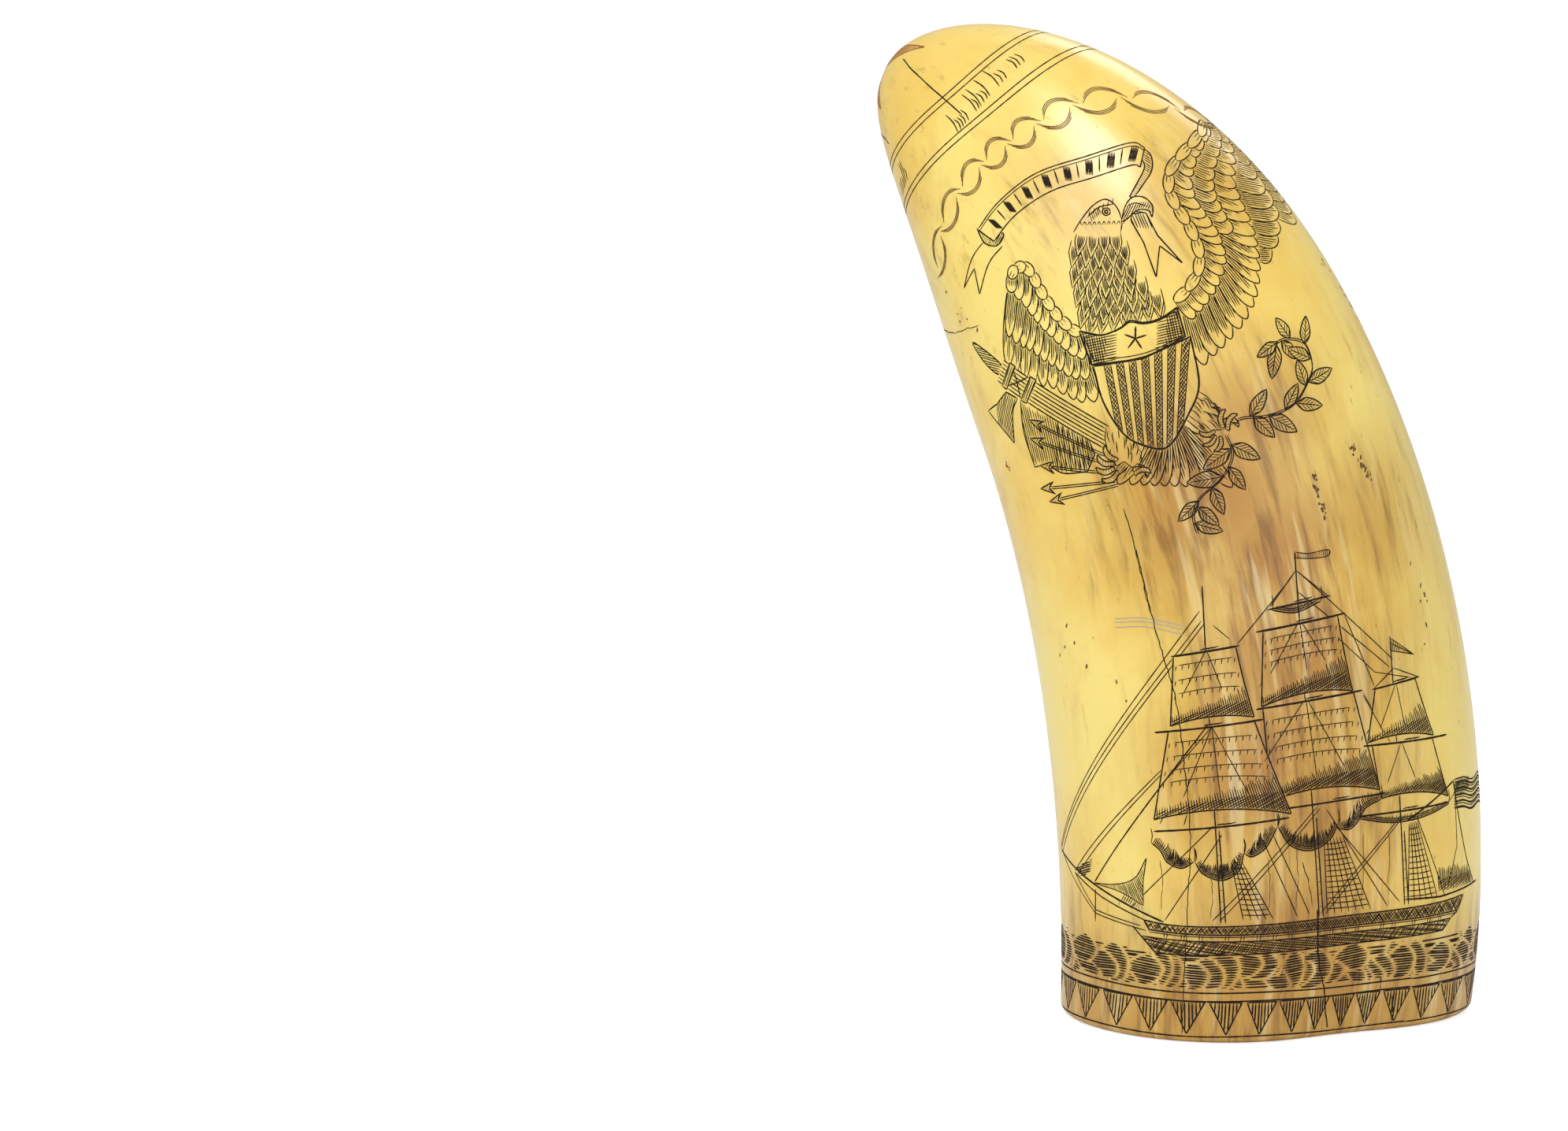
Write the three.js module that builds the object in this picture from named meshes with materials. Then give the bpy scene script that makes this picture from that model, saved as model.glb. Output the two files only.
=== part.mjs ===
// A scrimshaw sperm whale tooth, polished all over and sawn flat at the root so that it stands.
//
// The tooth is one solid of ivory. It rises straight from an oval root, then bows over more and more
// towards a blunt, rounded tip. Its sections are ovals that turn a little from root to tip. The root
// is open below: a pulp cavity runs up inside the wall and narrows to a point, as in every such tooth.
// The engraving is only scratched ink lines, a tenth of a millimetre deep, so the solid leaves it out.
//
// Millimetres, +Z up, origin on the plane that the tooth stands on, midway along its width and depth.
// The engraved front face looks towards -Y. The tip leans towards -X and a little towards +Y.

import * as THREE from "three";

// Driving dimensions. The tooth stands 160 mm high.
const AXIS_LENGTH = 181; // along the bowed centreline, from the root to the tip
const BOW_TURN = -28.7; // degrees about Z from the -X direction to the way the tip leans
const ROOT_LEAN = -4.25; // degrees: the centreline starts a little the other way
const LEAN = [51.5, -13.25, 40.15]; // degrees of lean gained, as a cubic in the share of the length
const ROOT_LEVEL_POWER = 6; // how soon the sections leave the level of the sawn root
const RADII = [29.2, 31.0, 28.5, 21.1]; // mean radius at 0, 1/3, 2/3 and all of the length
const TIP_START = 0.6; // share of the length where the sides begin to round over to the tip
const TIP_POWER = 2.15; // how blunt the tip is

// How each section departs from a circle: {amount} of the radius, as waves turned {turn} degrees.
const OVAL = { waves: 2, root: { amount: 0.184, turn: 53.7 }, tip: { amount: 0.093, turn: 3.7 } };
const PEAR = { waves: 3, root: { amount: 0.029, turn: 38.3 }, tip: { amount: 0.099, turn: 0.6 } };
const SQUARE = { waves: 4, root: { amount: 0.02, turn: 34.8 }, tip: { amount: 0, turn: 0 } };

const RIM_ROUND = 1.6; // radius of the worn edge round the sawn root
const FOLD = { at: 79, halfWidth: 7, depth: 0.8, height: 40 }; // growth fold up the back from the root

const CAVITY_MOUTH = 0.68; // the pulp cavity's size at the root, as a share of the section
const CAVITY_END = 0.37; // share of the length where the cavity comes to its point
const CAVITY_POWER = 1.35; // how full the cavity is below its point
const CAVITY_RIDGE = 0.018; // growth ridges round the cavity, as a share of its size
const CAVITY_RIDGES = 5;

const AROUND = 60; // facets round the tooth
const BODY_RINGS = 40;
const TIP_RINGS = 13;
const RIM_RINGS = 4;
const CAVITY_RINGS = 14;

const IVORY = { color: 0xe6cd8c, roughness: 0.28, metalness: 0 };

const degrees = THREE.MathUtils.degToRad;

// The lean from upright of the centreline at a share s of its length, in radians.
function leanAt(s) {
  return degrees(ROOT_LEAN + LEAN[0] * s + LEAN[1] * s ** 2 + LEAN[2] * s ** 3);
}

// The lean of the section there: level at the sawn root, and square to the centreline above it.
function sectionLeanAt(s) {
  return leanAt(s) - degrees(ROOT_LEAN) * (1 - s) ** ROOT_LEVEL_POWER;
}

// The bowed centreline, summed in small steps, as a function from s to a point in the plane of the bow.
function makeCentreline(steps = 400) {
  const points = [new THREE.Vector3()];
  for (let i = 0; i < steps; i++) {
    const lean = leanAt((i + 0.5) / steps);
    const step = new THREE.Vector3(-Math.sin(lean), 0, Math.cos(lean));
    points.push(points[i].clone().addScaledVector(step, AXIS_LENGTH / steps));
  }
  return (s) => {
    const i = Math.min(Math.floor(s * steps), steps - 1);
    return points[i].clone().lerp(points[i + 1], s * steps - i);
  };
}
const centreline = makeCentreline();

// The cubic through the four mean radii.
function meanRadiusAt(s) {
  const stations = [0, 1 / 3, 2 / 3, 1];
  return RADII.reduce((sum, radius, i) => {
    const weight = stations.reduce(
      (product, at, j) => (j === i ? product : (product * (s - at)) / (stations[i] - at)),
      1,
    );
    return sum + radius * weight;
  }, 0);
}

// 1 along the sides, falling to 0 at the very tip.
function tipRounding(s) {
  const share = THREE.MathUtils.clamp((s - TIP_START) / (1 - TIP_START), 0, 1);
  return (1 - share ** TIP_POWER) ** (1 / TIP_POWER);
}

// One wave round the section, blended from its root to its tip form as a vector, so that it turns evenly.
function wave({ waves, root, tip }, s, angle) {
  const part = ({ amount, turn }) => amount * Math.cos(waves * (angle - degrees(turn)));
  return THREE.MathUtils.lerp(part(root), part(tip), s);
}

// The pear shape fades out over the tip, which leaves its very end a smooth oval.
function sectionRadius(s, angle) {
  const pear = wave(PEAR, s, angle) * tipRounding(s);
  const shape = 1 + wave(OVAL, s, angle) + pear + wave(SQUARE, s, angle);
  return meanRadiusAt(s) * shape;
}

// A point of the section at s, at a distance r from the centreline.
function place(s, angle, r) {
  const lean = sectionLeanAt(s);
  const along = r * Math.cos(angle);
  const point = centreline(s);
  point.x += along * Math.cos(lean);
  point.y += r * Math.sin(angle);
  point.z += along * Math.sin(lean);
  return point;
}

// How far the worn edge round the root draws in, at height h above the saw cut.
function rimInset(h) {
  const below = Math.max(0, 1 - h / RIM_ROUND);
  return RIM_ROUND * (1 - Math.sqrt(1 - below ** 2));
}

// The shallow growth fold, deepest at the root.
function foldDepth(s, angle) {
  const away = Math.abs(angle - degrees(FOLD.at)) / degrees(FOLD.halfWidth);
  const up = Math.max(0, 1 - (s * AXIS_LENGTH) / FOLD.height);
  return FOLD.depth * up ** 2 * Math.exp(-(away ** 2));
}

function outerPoint(s, angle) {
  const r = sectionRadius(s, angle) * tipRounding(s);
  return place(s, angle, r - rimInset(s * AXIS_LENGTH) - foldDepth(s, angle));
}

function cavityPoint(s, angle) {
  const share = s / CAVITY_END;
  const ridge = 1 + CAVITY_RIDGE * Math.sin(2 * Math.PI * CAVITY_RIDGES * share) * (1 - share);
  const size = CAVITY_MOUTH * (1 - share ** CAVITY_POWER) * ridge;
  return place(s, angle, sectionRadius(s, angle) * size);
}

function ring(pointAt, s) {
  return Array.from({ length: AROUND }, (_, i) => pointAt(s, (2 * Math.PI * i) / AROUND));
}

// Shares of the length for the outside: close together at the worn rim and at the rounded tip.
function outerShares() {
  const rim = Array.from({ length: RIM_RINGS }, (_, i) => {
    const turn = (Math.PI / 2) * (i / RIM_RINGS);
    return (RIM_ROUND * (1 - Math.cos(turn))) / AXIS_LENGTH;
  });
  const rimTop = RIM_ROUND / AXIS_LENGTH;
  const body = Array.from({ length: BODY_RINGS }, (_, i) =>
    THREE.MathUtils.lerp(rimTop, 0.86, i / BODY_RINGS),
  );
  const tip = Array.from({ length: TIP_RINGS }, (_, i) => {
    const turn = (Math.PI / 2) * (i / TIP_RINGS);
    return 0.86 + 0.14 * Math.sin(turn);
  });
  return [...rim, ...body, ...tip];
}

// One closed surface from rows of points: rings of equal count, between a single point at each end.
function closedSurface(rows) {
  const starts = [];
  const position = [];
  for (const row of rows) {
    starts.push(position.length / 3);
    row.forEach((p) => position.push(p.x, p.y, p.z));
  }
  const index = [];
  for (let r = 0; r + 1 < rows.length; r++) {
    const [low, high] = [starts[r], starts[r + 1]];
    for (let i = 0; i < AROUND; i++) {
      const next = (i + 1) % AROUND;
      if (rows[r].length > 1) {
        index.push(low + i, low + next, rows[r + 1].length > 1 ? high + next : high);
      }
      if (rows[r + 1].length > 1) {
        index.push(rows[r].length > 1 ? low + i : low, high + next, high + i);
      }
    }
  }
  const geometry = new THREE.BufferGeometry();
  geometry.setAttribute("position", new THREE.Float32BufferAttribute(position, 3));
  geometry.setIndex(index);
  geometry.computeVertexNormals();
  return geometry;
}

// The whole tooth: down the cavity wall from its point, across the sawn rim, and up the outside.
function toothGeometry() {
  const cavity = Array.from({ length: CAVITY_RINGS }, (_, i) => {
    const share = 1 - (i + 1) / CAVITY_RINGS;
    return ring(cavityPoint, CAVITY_END * share);
  });
  const outside = outerShares().map((s) => ring(outerPoint, s));
  return closedSurface([[centreline(CAVITY_END)], ...cavity, ...outside, [centreline(1)]]);
}

const tooth = new THREE.Mesh(toothGeometry(), new THREE.MeshStandardMaterial(IVORY));
tooth.name = "tooth";
tooth.rotation.z = degrees(BOW_TURN);

// Centres the tooth over the origin, with its sawn root on the plane z = 0.
const middle = new THREE.Box3().setFromObject(tooth, true).getCenter(new THREE.Vector3());
tooth.position.set(-middle.x, -middle.y, 0);

const scrimshawTooth = new THREE.Group();
scrimshawTooth.add(tooth);

export default scrimshawTooth;
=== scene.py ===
"""The looks of a scrimshaw whale tooth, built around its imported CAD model.

The tooth is one dense mesh of aged, polished ivory on the same formula as the CAD solid. The engraving is
drawn here with a pen of the script's own: strokes on flat sheets, in millimetres, which are wrapped on the
tooth and cut in as thin inked wedges. Everything is in the frame's axes, +Z up, with the eagle and the ship
looking towards -Y and the hearts and the whale on the far side.
"""

import math

import bpy
import numpy as np
from mathutils import Matrix, Vector


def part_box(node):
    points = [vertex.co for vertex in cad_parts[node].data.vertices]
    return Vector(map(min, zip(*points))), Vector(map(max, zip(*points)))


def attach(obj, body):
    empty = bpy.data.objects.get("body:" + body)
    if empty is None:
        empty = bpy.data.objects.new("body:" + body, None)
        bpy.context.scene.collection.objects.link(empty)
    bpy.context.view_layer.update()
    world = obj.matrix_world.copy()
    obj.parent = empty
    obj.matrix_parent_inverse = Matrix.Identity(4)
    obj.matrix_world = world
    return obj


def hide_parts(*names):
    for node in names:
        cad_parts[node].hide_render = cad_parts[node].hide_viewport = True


MM = 0.001

# ---- The tooth's shape, in millimetres and degrees, as in the CAD model ----
AXIS_LENGTH = 181.0
BOW_TURN = -28.7
ROOT_LEAN = -4.25
LEAN = (51.5, -13.25, 40.15)
ROOT_LEVEL_POWER = 6
RADII = (29.2, 31.0, 28.5, 21.1)
TIP_START = 0.6
TIP_POWER = 2.15
OVAL = (2, (0.184, 53.7), (0.093, 3.7))  # waves, then (amount, turn) at the root and at the tip
PEAR = (3, (0.029, 38.3), (0.099, 0.6))
SQUARE = (4, (0.02, 34.8), (0.0, 0.0))
RIM_ROUND = 1.6
FOLD_AT, FOLD_HALF_WIDTH, FOLD_DEPTH, FOLD_HEIGHT = 79, 7, 0.8, 40
CAVITY_MOUTH = 0.68
CAVITY_END = 0.37
CAVITY_POWER = 1.35
CAVITY_RIDGE = 0.018
CAVITY_RIDGES = 5


def lean_at(s):
    """The centreline's lean from upright at a share s of its length, in radians."""
    return np.radians(ROOT_LEAN + LEAN[0] * s + LEAN[1] * s**2 + LEAN[2] * s**3)


def section_lean_at(s):
    """The lean of the section there: level at the sawn root, and square to the centreline above."""
    return lean_at(s) - math.radians(ROOT_LEAN) * (1 - s) ** ROOT_LEVEL_POWER


def make_centreline(steps=400):
    """The bowed centreline, summed in small steps, as a function from s to (x, z)."""
    lean = lean_at((np.arange(steps) + 0.5) / steps)
    stations = np.linspace(0, 1, steps + 1)
    x = np.concatenate([[0], np.cumsum(-np.sin(lean))]) * AXIS_LENGTH / steps
    z = np.concatenate([[0], np.cumsum(np.cos(lean))]) * AXIS_LENGTH / steps
    return lambda s: (np.interp(s, stations, x), np.interp(s, stations, z))


centreline = make_centreline()


def mean_radius_at(s):
    """The cubic through the four mean radii."""
    stations = (0, 1 / 3, 2 / 3, 1)
    total = 0
    for i, radius in enumerate(RADII):
        weight = 1
        for j, at in enumerate(stations):
            if j != i:
                weight = weight * (s - at) / (stations[i] - at)
        total = total + radius * weight
    return total


def tip_rounding(s):
    """1 along the sides, falling to 0 at the very tip."""
    share = np.clip((s - TIP_START) / (1 - TIP_START), 0, 1)
    return (1 - share**TIP_POWER) ** (1 / TIP_POWER)


def wave(form, s, angle):
    """One wave round the section, blended from its root to its tip form."""
    waves, *ends = form
    root, tip = (amount * np.cos(waves * (angle - math.radians(turn))) for amount, turn in ends)
    return root * (1 - s) + tip * s


def section_radius(s, angle):
    pear = wave(PEAR, s, angle) * tip_rounding(s)
    return mean_radius_at(s) * (1 + wave(OVAL, s, angle) + pear + wave(SQUARE, s, angle))


def place(s, angle, r):
    """A point of the section at s, at a distance r from the centreline, in the frame's axes."""
    lean = section_lean_at(s)
    x, z = centreline(s)
    x = x + r * np.cos(angle) * np.cos(lean)
    y = r * np.sin(angle)
    z = z + r * np.cos(angle) * np.sin(lean)
    turn = math.radians(BOW_TURN)
    turned = (x * math.cos(turn) - y * math.sin(turn), x * math.sin(turn) + y * math.cos(turn), z)
    return np.stack(turned, axis=-1) + OFFSET


def rim_inset(height):
    below = np.maximum(0, 1 - height / RIM_ROUND)
    return RIM_ROUND * (1 - np.sqrt(1 - below**2))


def fold_depth(s, angle):
    away = np.abs(angle % (2 * np.pi) - math.radians(FOLD_AT)) / math.radians(FOLD_HALF_WIDTH)
    up = np.maximum(0, 1 - s * AXIS_LENGTH / FOLD_HEIGHT)
    return FOLD_DEPTH * up**2 * np.exp(-(away**2))


def outer_point(s, angle):
    r = section_radius(s, angle) * tip_rounding(s)
    return place(s, angle, r - rim_inset(s * AXIS_LENGTH) - fold_depth(s, angle))


def cavity_point(s, angle):
    share = s / CAVITY_END
    ridge = 1 + CAVITY_RIDGE * np.sin(2 * np.pi * CAVITY_RIDGES * share) * (1 - share)
    size = CAVITY_MOUTH * (1 - share**CAVITY_POWER) * ridge
    return place(s, angle, section_radius(s, angle) * size)


# ---- The frame, and the tooth's place in it ----
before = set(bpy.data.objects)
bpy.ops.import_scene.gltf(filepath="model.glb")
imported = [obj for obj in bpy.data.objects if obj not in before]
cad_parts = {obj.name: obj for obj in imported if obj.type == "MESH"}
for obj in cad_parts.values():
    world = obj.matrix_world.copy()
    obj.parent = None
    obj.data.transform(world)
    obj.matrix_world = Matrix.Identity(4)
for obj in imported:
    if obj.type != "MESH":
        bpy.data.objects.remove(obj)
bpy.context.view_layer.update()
OFFSET = np.zeros(3)


def measure_offset():
    """From the root's middle, where the formula has its origin, to the frame's origin."""
    s, angle = np.meshgrid(np.linspace(0, 1, 400), np.linspace(0, 2 * np.pi, 360, endpoint=False))
    points = outer_point(s, angle).reshape(-1, 3)
    middle = (points.min(0) + points.max(0)) / 2
    low, high = (np.array(corner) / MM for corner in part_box("tooth"))
    return np.array([*((low + high) / 2 - middle)[:2], 0])


OFFSET = measure_offset()

# ---- The tooth's mesh ----
AROUND = 216
BODY_RINGS = 270
TIP_RINGS = 64
RIM_RINGS = 6
CAVITY_RINGS = 60
TIP_FROM = 0.86


def outer_shares():
    """Shares of the length for the outside: close together at the worn rim and at the tip."""
    quarter = np.pi / 2
    rim_top = RIM_ROUND / AXIS_LENGTH
    rim = rim_top * (1 - np.cos(np.linspace(0, quarter, RIM_RINGS, endpoint=False)))
    body = np.linspace(rim_top, TIP_FROM, BODY_RINGS, endpoint=False)
    tip = TIP_FROM + (1 - TIP_FROM) * np.sin(np.linspace(0, quarter, TIP_RINGS, endpoint=False))
    return np.concatenate([rim, body, tip])


def ring_faces(rings):
    """Quads between rings of AROUND points, with a fan at each end to the two last points."""
    faces = []
    for r in range(rings - 1):
        low, high = r * AROUND, (r + 1) * AROUND
        for i in range(AROUND):
            j = (i + 1) % AROUND
            faces.append((low + i, low + j, high + j, high + i))
    first, last = rings * AROUND, rings * AROUND + 1
    top = (rings - 1) * AROUND
    for i in range(AROUND):
        j = (i + 1) % AROUND
        faces.append((first, j, i))
        faces.append((last, top + i, top + j))
    return faces


def make_tooth():
    """The whole tooth: from the cavity's point down its wall, across the sawn rim and up the outside."""
    angle = np.linspace(0, 2 * np.pi, AROUND, endpoint=False)
    cavity = CAVITY_END * (1 - np.arange(1, CAVITY_RINGS + 1) / CAVITY_RINGS)
    outside = outer_shares()
    rows = [cavity_point(np.full(AROUND, s), angle) for s in cavity]
    rows += [outer_point(np.full(AROUND, s), angle) for s in outside]
    ends = [place(np.array([s]), np.array([0.0]), 0) for s in (CAVITY_END, 1.0)]
    points = np.concatenate([*rows, *ends]) * MM
    mesh = bpy.data.meshes.new("tooth_ivory")
    mesh.from_pydata(points.tolist(), [], ring_faces(len(rows)))
    mesh.polygons.foreach_set("use_smooth", np.ones(len(mesh.polygons), bool))
    add_straight_position(mesh, cavity, outside, angle)
    tooth = bpy.data.objects.new("tooth_ivory", mesh)
    bpy.context.scene.collection.objects.link(tooth)
    return tooth


def add_straight_position(mesh, cavity, outside, angle):
    """Gives each point its place in the tooth as if it were straight, so that the grain follows the bow."""
    rows = []
    for s in [*cavity, *outside]:
        scale = mean_radius_at(s) * (0.5 if len(rows) < len(cavity) else max(tip_rounding(s), 0.02))
        ring = [scale * np.cos(angle), scale * np.sin(angle), np.full(AROUND, s * AXIS_LENGTH)]
        rows.append(np.stack(ring, axis=-1))
    ends = [[[0, 0, CAVITY_END * AXIS_LENGTH]], [[0, 0, AXIS_LENGTH]]]
    values = np.concatenate([*rows, *ends]) * MM
    layer = mesh.attributes.new("straight", "FLOAT_VECTOR", "POINT")
    layer.data.foreach_set("vector", values.astype(np.float32).ravel())


# ---- Materials ----
def linear(red, green, blue):
    """A colour given as it looks on a screen, 0 to 255, as the linear values of a shader."""
    shares = [c / 255 for c in (red, green, blue)]
    return tuple(c / 12.92 if c <= 0.04045 else ((c + 0.055) / 1.055) ** 2.4 for c in shares) + (1.0,)


class Nodes:
    """A short way to write a material's node tree."""

    def __init__(self, name):
        self.material = bpy.data.materials.new(name)
        self.material.use_nodes = True
        self.tree = self.material.node_tree
        self.shader = self.tree.nodes["Principled BSDF"]

    def add(self, kind, inputs=None, **settings):
        node = self.tree.nodes.new(kind)
        for key, value in settings.items():
            setattr(node, key, value)
        for key, value in (inputs or {}).items():
            self.feed(node, key, value)
        return node

    def feed(self, node, key, value):
        if isinstance(value, bpy.types.NodeSocket):
            self.tree.links.new(value, node.inputs[key])
        else:
            node.inputs[key].default_value = value

    def set(self, **inputs):
        for key, value in inputs.items():
            self.feed(self.shader, key.replace("_", " "), value)

    def stretched(self, vector, scale):
        return self.add("ShaderNodeMapping", {"Vector": vector, "Scale": scale}).outputs[0]

    def noise(self, vector, scale, detail=4.0, roughness=0.5, distortion=0.0):
        inputs = {"Vector": vector, "Scale": scale, "Detail": detail, "Roughness": roughness,
                  "Distortion": distortion}
        return self.add("ShaderNodeTexNoise", inputs).outputs[0]

    def ramp(self, value, low, high):
        """0 below low, 1 above high, and smooth between."""
        inputs = {"Value": value, "From Min": low, "From Max": high}
        return self.add("ShaderNodeMapRange", inputs, interpolation_type="SMOOTHSTEP").outputs[0]

    def math(self, operation, a, b=0.0):
        return self.add("ShaderNodeMath", {0: a, 1: b}, operation=operation).outputs[0]

    def times(self, a, b):
        return self.math("MULTIPLY", a, b)

    def mix(self, share, a, b):
        node = self.add("ShaderNodeMix", data_type="RGBA")
        for index, value in ((0, share), (6, a), (7, b)):
            self.feed(node, index, value)
        return node.outputs[2]

    def near(self, point, centre, reach):
        """1 at centre, falling to 0 at a distance of reach, both in metres."""
        apart = self.add("ShaderNodeVectorMath", {0: point, 1: centre}, operation="DISTANCE").outputs[1]
        inputs = {"Value": apart, "From Min": 0.0, "From Max": reach, "To Min": 1.0, "To Max": 0.0}
        return self.add("ShaderNodeMapRange", inputs, interpolation_type="SMOOTHSTEP").outputs[0]


IVORY_LIGHT = linear(250, 226, 128)
IVORY_WARM = linear(241, 202, 94)
IVORY_TAN = linear(184, 130, 48)
IVORY_BROWN = linear(136, 90, 34)
IVORY_PALE = linear(250, 232, 172)
STAIN_RED = linear(108, 58, 32)
FLECK_DARK = linear(104, 70, 38)

# Where the ivory has darkened: share of the length, angle, reach in millimetres and strength.
DARKENED = [
    (0.47, 300, 32, 1.0), (0.41, 316, 28, 1.0), (0.52, 322, 22, 0.8), (0.33, 318, 32, 1.0),
    (0.24, 302, 30, 1.0), (0.2, 320, 28, 0.9), (0.1, 308, 28, 0.9), (0.42, 350, 24, 0.6),
    (0.28, 62, 24, 0.55), (0.14, 80, 26, 0.6), (0.12, 120, 24, 0.5), (0.5, 150, 22, 0.5),
    (0.62, 175, 20, 0.8), (0.58, 180, 14, 1.0), (0.86, 120, 12, 0.3), (0.74, 300, 20, 0.3),
    (0.7, 340, 22, 0.4), (0.04, 300, 17, 0.8), (0.04, 330, 17, 0.9), (0.04, 0, 15, 0.7),
    (0.3, 335, 20, 0.7), (0.22, 340, 18, 0.6),
]
# Where dark stain has soaked in at the foot: share of the length, angle and reach.
STAINED = [
    (0.01, 75, 7), (0.035, 75, 6), (0.06, 76, 5), (0.085, 76, 4), (0.105, 76, 3), (0.025, 33, 5),
    (0.01, 35, 5),
]
LOW_STAIN_FROM, LOW_STAIN_TO = 0.026, 0.008  # heights between which the darker foot sets in, in metres


def spot_mask(n, position, s, angle, reach):
    """1 at a place on the tooth, fading to 0 at a distance of reach millimetres."""
    centre = outer_point(np.array(s), np.array(math.radians(angle))) * MM
    return n.near(position, tuple(centre), reach * MM)


def ivory_material():
    """Mottled ivory: cream clouds, then brown where it has aged, pale and dark streaks, and flecks."""
    n = Nodes("aged_ivory")
    straight = n.add("ShaderNodeAttribute", attribute_name="straight").outputs["Vector"]
    spot = n.add("ShaderNodeTexCoord").outputs["Object"]
    grain = n.stretched(straight, (1.0, 1.0, 0.13))
    cloud = n.noise(n.stretched(straight, (1.0, 1.0, 0.6)), 34.0, 5.0, 0.6, 0.5)
    blotch = n.noise(n.stretched(straight, (1.0, 1.0, 0.4)), 95.0, 6.0, 0.65, 0.3)
    streak = n.noise(grain, 520.0, 4.0, 0.6, 0.25)
    pale_streak = n.noise(n.stretched(straight, (1.0, 1.0, 0.1)), 340.0, 3.0, 0.5, 0.3)
    speck = n.noise(n.stretched(straight, (1.0, 1.0, 0.35)), 1500.0, 2.0, 0.5)

    aged = 0.0
    for s, angle, reach, strength in DARKENED:
        aged = n.math("MAXIMUM", aged, n.times(spot_mask(n, spot, s, angle, reach), strength))
    height = n.add("ShaderNodeSeparateXYZ", {0: spot}).outputs[2]
    limits = {"Value": height, "From Min": LOW_STAIN_FROM, "From Max": LOW_STAIN_TO}
    foot = n.add("ShaderNodeMapRange", limits)
    aged = n.math("MAXIMUM", aged, n.times(foot.outputs[0], 0.75))
    mottled = n.times(aged, n.ramp(blotch, 0.14, 0.5))
    soaked = 0.0
    for s, angle, reach in STAINED:
        soaked = n.math("MAXIMUM", soaked, spot_mask(n, spot, s, angle, reach))
    soaked = n.times(soaked, n.ramp(streak, 0.3, 0.56))
    pale = n.times(n.ramp(pale_streak, 0.52, 0.66), n.times(aged, 0.5))

    colour = n.mix(n.ramp(cloud, 0.36, 0.66), IVORY_LIGHT, IVORY_WARM)
    colour = n.mix(n.times(n.ramp(blotch, 0.5, 0.74), 0.34), colour, IVORY_TAN)
    colour = n.mix(mottled, colour, IVORY_TAN)
    brown = n.times(n.times(aged, n.ramp(streak, 0.46, 0.68)), 0.85)
    colour = n.mix(brown, colour, IVORY_BROWN)
    colour = n.mix(pale, colour, IVORY_PALE)
    colour = n.mix(n.times(n.ramp(streak, 0.6, 0.74), 0.3), colour, IVORY_BROWN)
    colour = n.mix(n.times(n.ramp(speck, 0.7, 0.8), 0.5), colour, FLECK_DARK)
    colour = n.mix(soaked, colour, STAIN_RED)
    n.set(Base_Color=colour, Roughness=0.3)
    n.set(Subsurface_Weight=0.12, Subsurface_Scale=0.003)
    n.set(Subsurface_Radius=(1.0, 0.6, 0.3))
    n.set(Coat_Weight=0.22, Coat_Roughness=0.16)
    return n.material


# ---- Drawing: a pen on flat sheets, in millimetres ----
FINE, PEN, BOLD = 0.18, 0.24, 0.32  # widths of the cut lines
STEP = 0.2  # between the points that are tested against what lies in front


def polar(angle, length=1.0):
    """A step of that length at an angle in degrees, counted from the sheet's right."""
    return length * np.array([math.cos(math.radians(angle)), math.sin(math.radians(angle))])


def curve(points, closed=False, parts=8):
    """A smooth line through a few points."""
    p = np.array(points, float)
    before = np.roll(p, 1, 0) if closed else np.vstack([2 * p[0] - p[1], p[:-1]])
    after = np.roll(p, -1, 0) if closed else np.vstack([p[1:], 2 * p[-1] - p[-2]])
    slope = (after - before) / 2
    ends = (np.roll(p, -1, 0), np.roll(slope, -1, 0))
    t = np.linspace(0, 1, parts, endpoint=False)[:, None]
    rows = []
    for i in range(len(p) if closed else len(p) - 1):
        a, b, da, db = p[i], ends[0][i], slope[i], ends[1][i]
        rows.append(a + da * t + (3 * (b - a) - 2 * da - db) * t**2 + (2 * (a - b) + da + db) * t**3)
    return np.vstack(rows + ([] if closed else [p[-1:]]))


def arc(centre, radii, start, end, count=24):
    """Part of an ellipse, from one angle to another."""
    turn = np.radians(np.linspace(start, end, count))
    return np.array(centre) + np.stack([radii[0] * np.cos(turn), radii[1] * np.sin(turn)], axis=1)


def resample(points, step):
    """The same line with its points about a step apart."""
    p = np.array(points, float)
    along = np.concatenate([[0], np.cumsum(np.hypot(*np.diff(p, axis=0).T))])
    count = max(2, int(math.ceil(along[-1] / step)) + 1)
    at = np.linspace(0, along[-1], count)
    return np.stack([np.interp(at, along, p[:, 0]), np.interp(at, along, p[:, 1])], axis=1)


def inside(points, outline):
    """Which points lie inside a closed outline."""
    x, y = points[:, 0, None], points[:, 1, None]
    ax, ay = outline[:, 0], outline[:, 1]
    bx, by = np.roll(ax, -1), np.roll(ay, -1)
    rise = np.where(by == ay, 1e-12, by - ay)
    crosses = ((ay > y) != (by > y)) & (x < ax + (y - ay) * (bx - ax) / rise)
    return crosses.sum(1) % 2 == 1


def moved(points, base=(0, 0), turn=0.0, scale=1.0):
    """Points of a small drawing, scaled, turned by degrees and moved to a base."""
    c, s = math.cos(math.radians(turn)), math.sin(math.radians(turn))
    return np.array(points, float) @ np.array([[c, s], [-s, c]]) * scale + np.array(base, float)


def distance(a, b):
    return np.hypot(*np.subtract(b, a))


def heading(a, b):
    """The direction from a to b, in degrees."""
    return math.degrees(math.atan2(*np.subtract(b, a)[::-1]))


def between(a, b, share):
    """The point at a share of the way from a to b."""
    return np.array(a, float) * (1 - share) + np.array(b, float) * share


def along_curve(points, share):
    """The point at a share of the length of a line."""
    p = np.array(points, float)
    at = np.concatenate([[0], np.cumsum(np.hypot(*np.diff(p, axis=0).T))])
    at = at / at[-1]
    return np.array([np.interp(share, at, p[:, 0]), np.interp(share, at, p[:, 1])])


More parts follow.
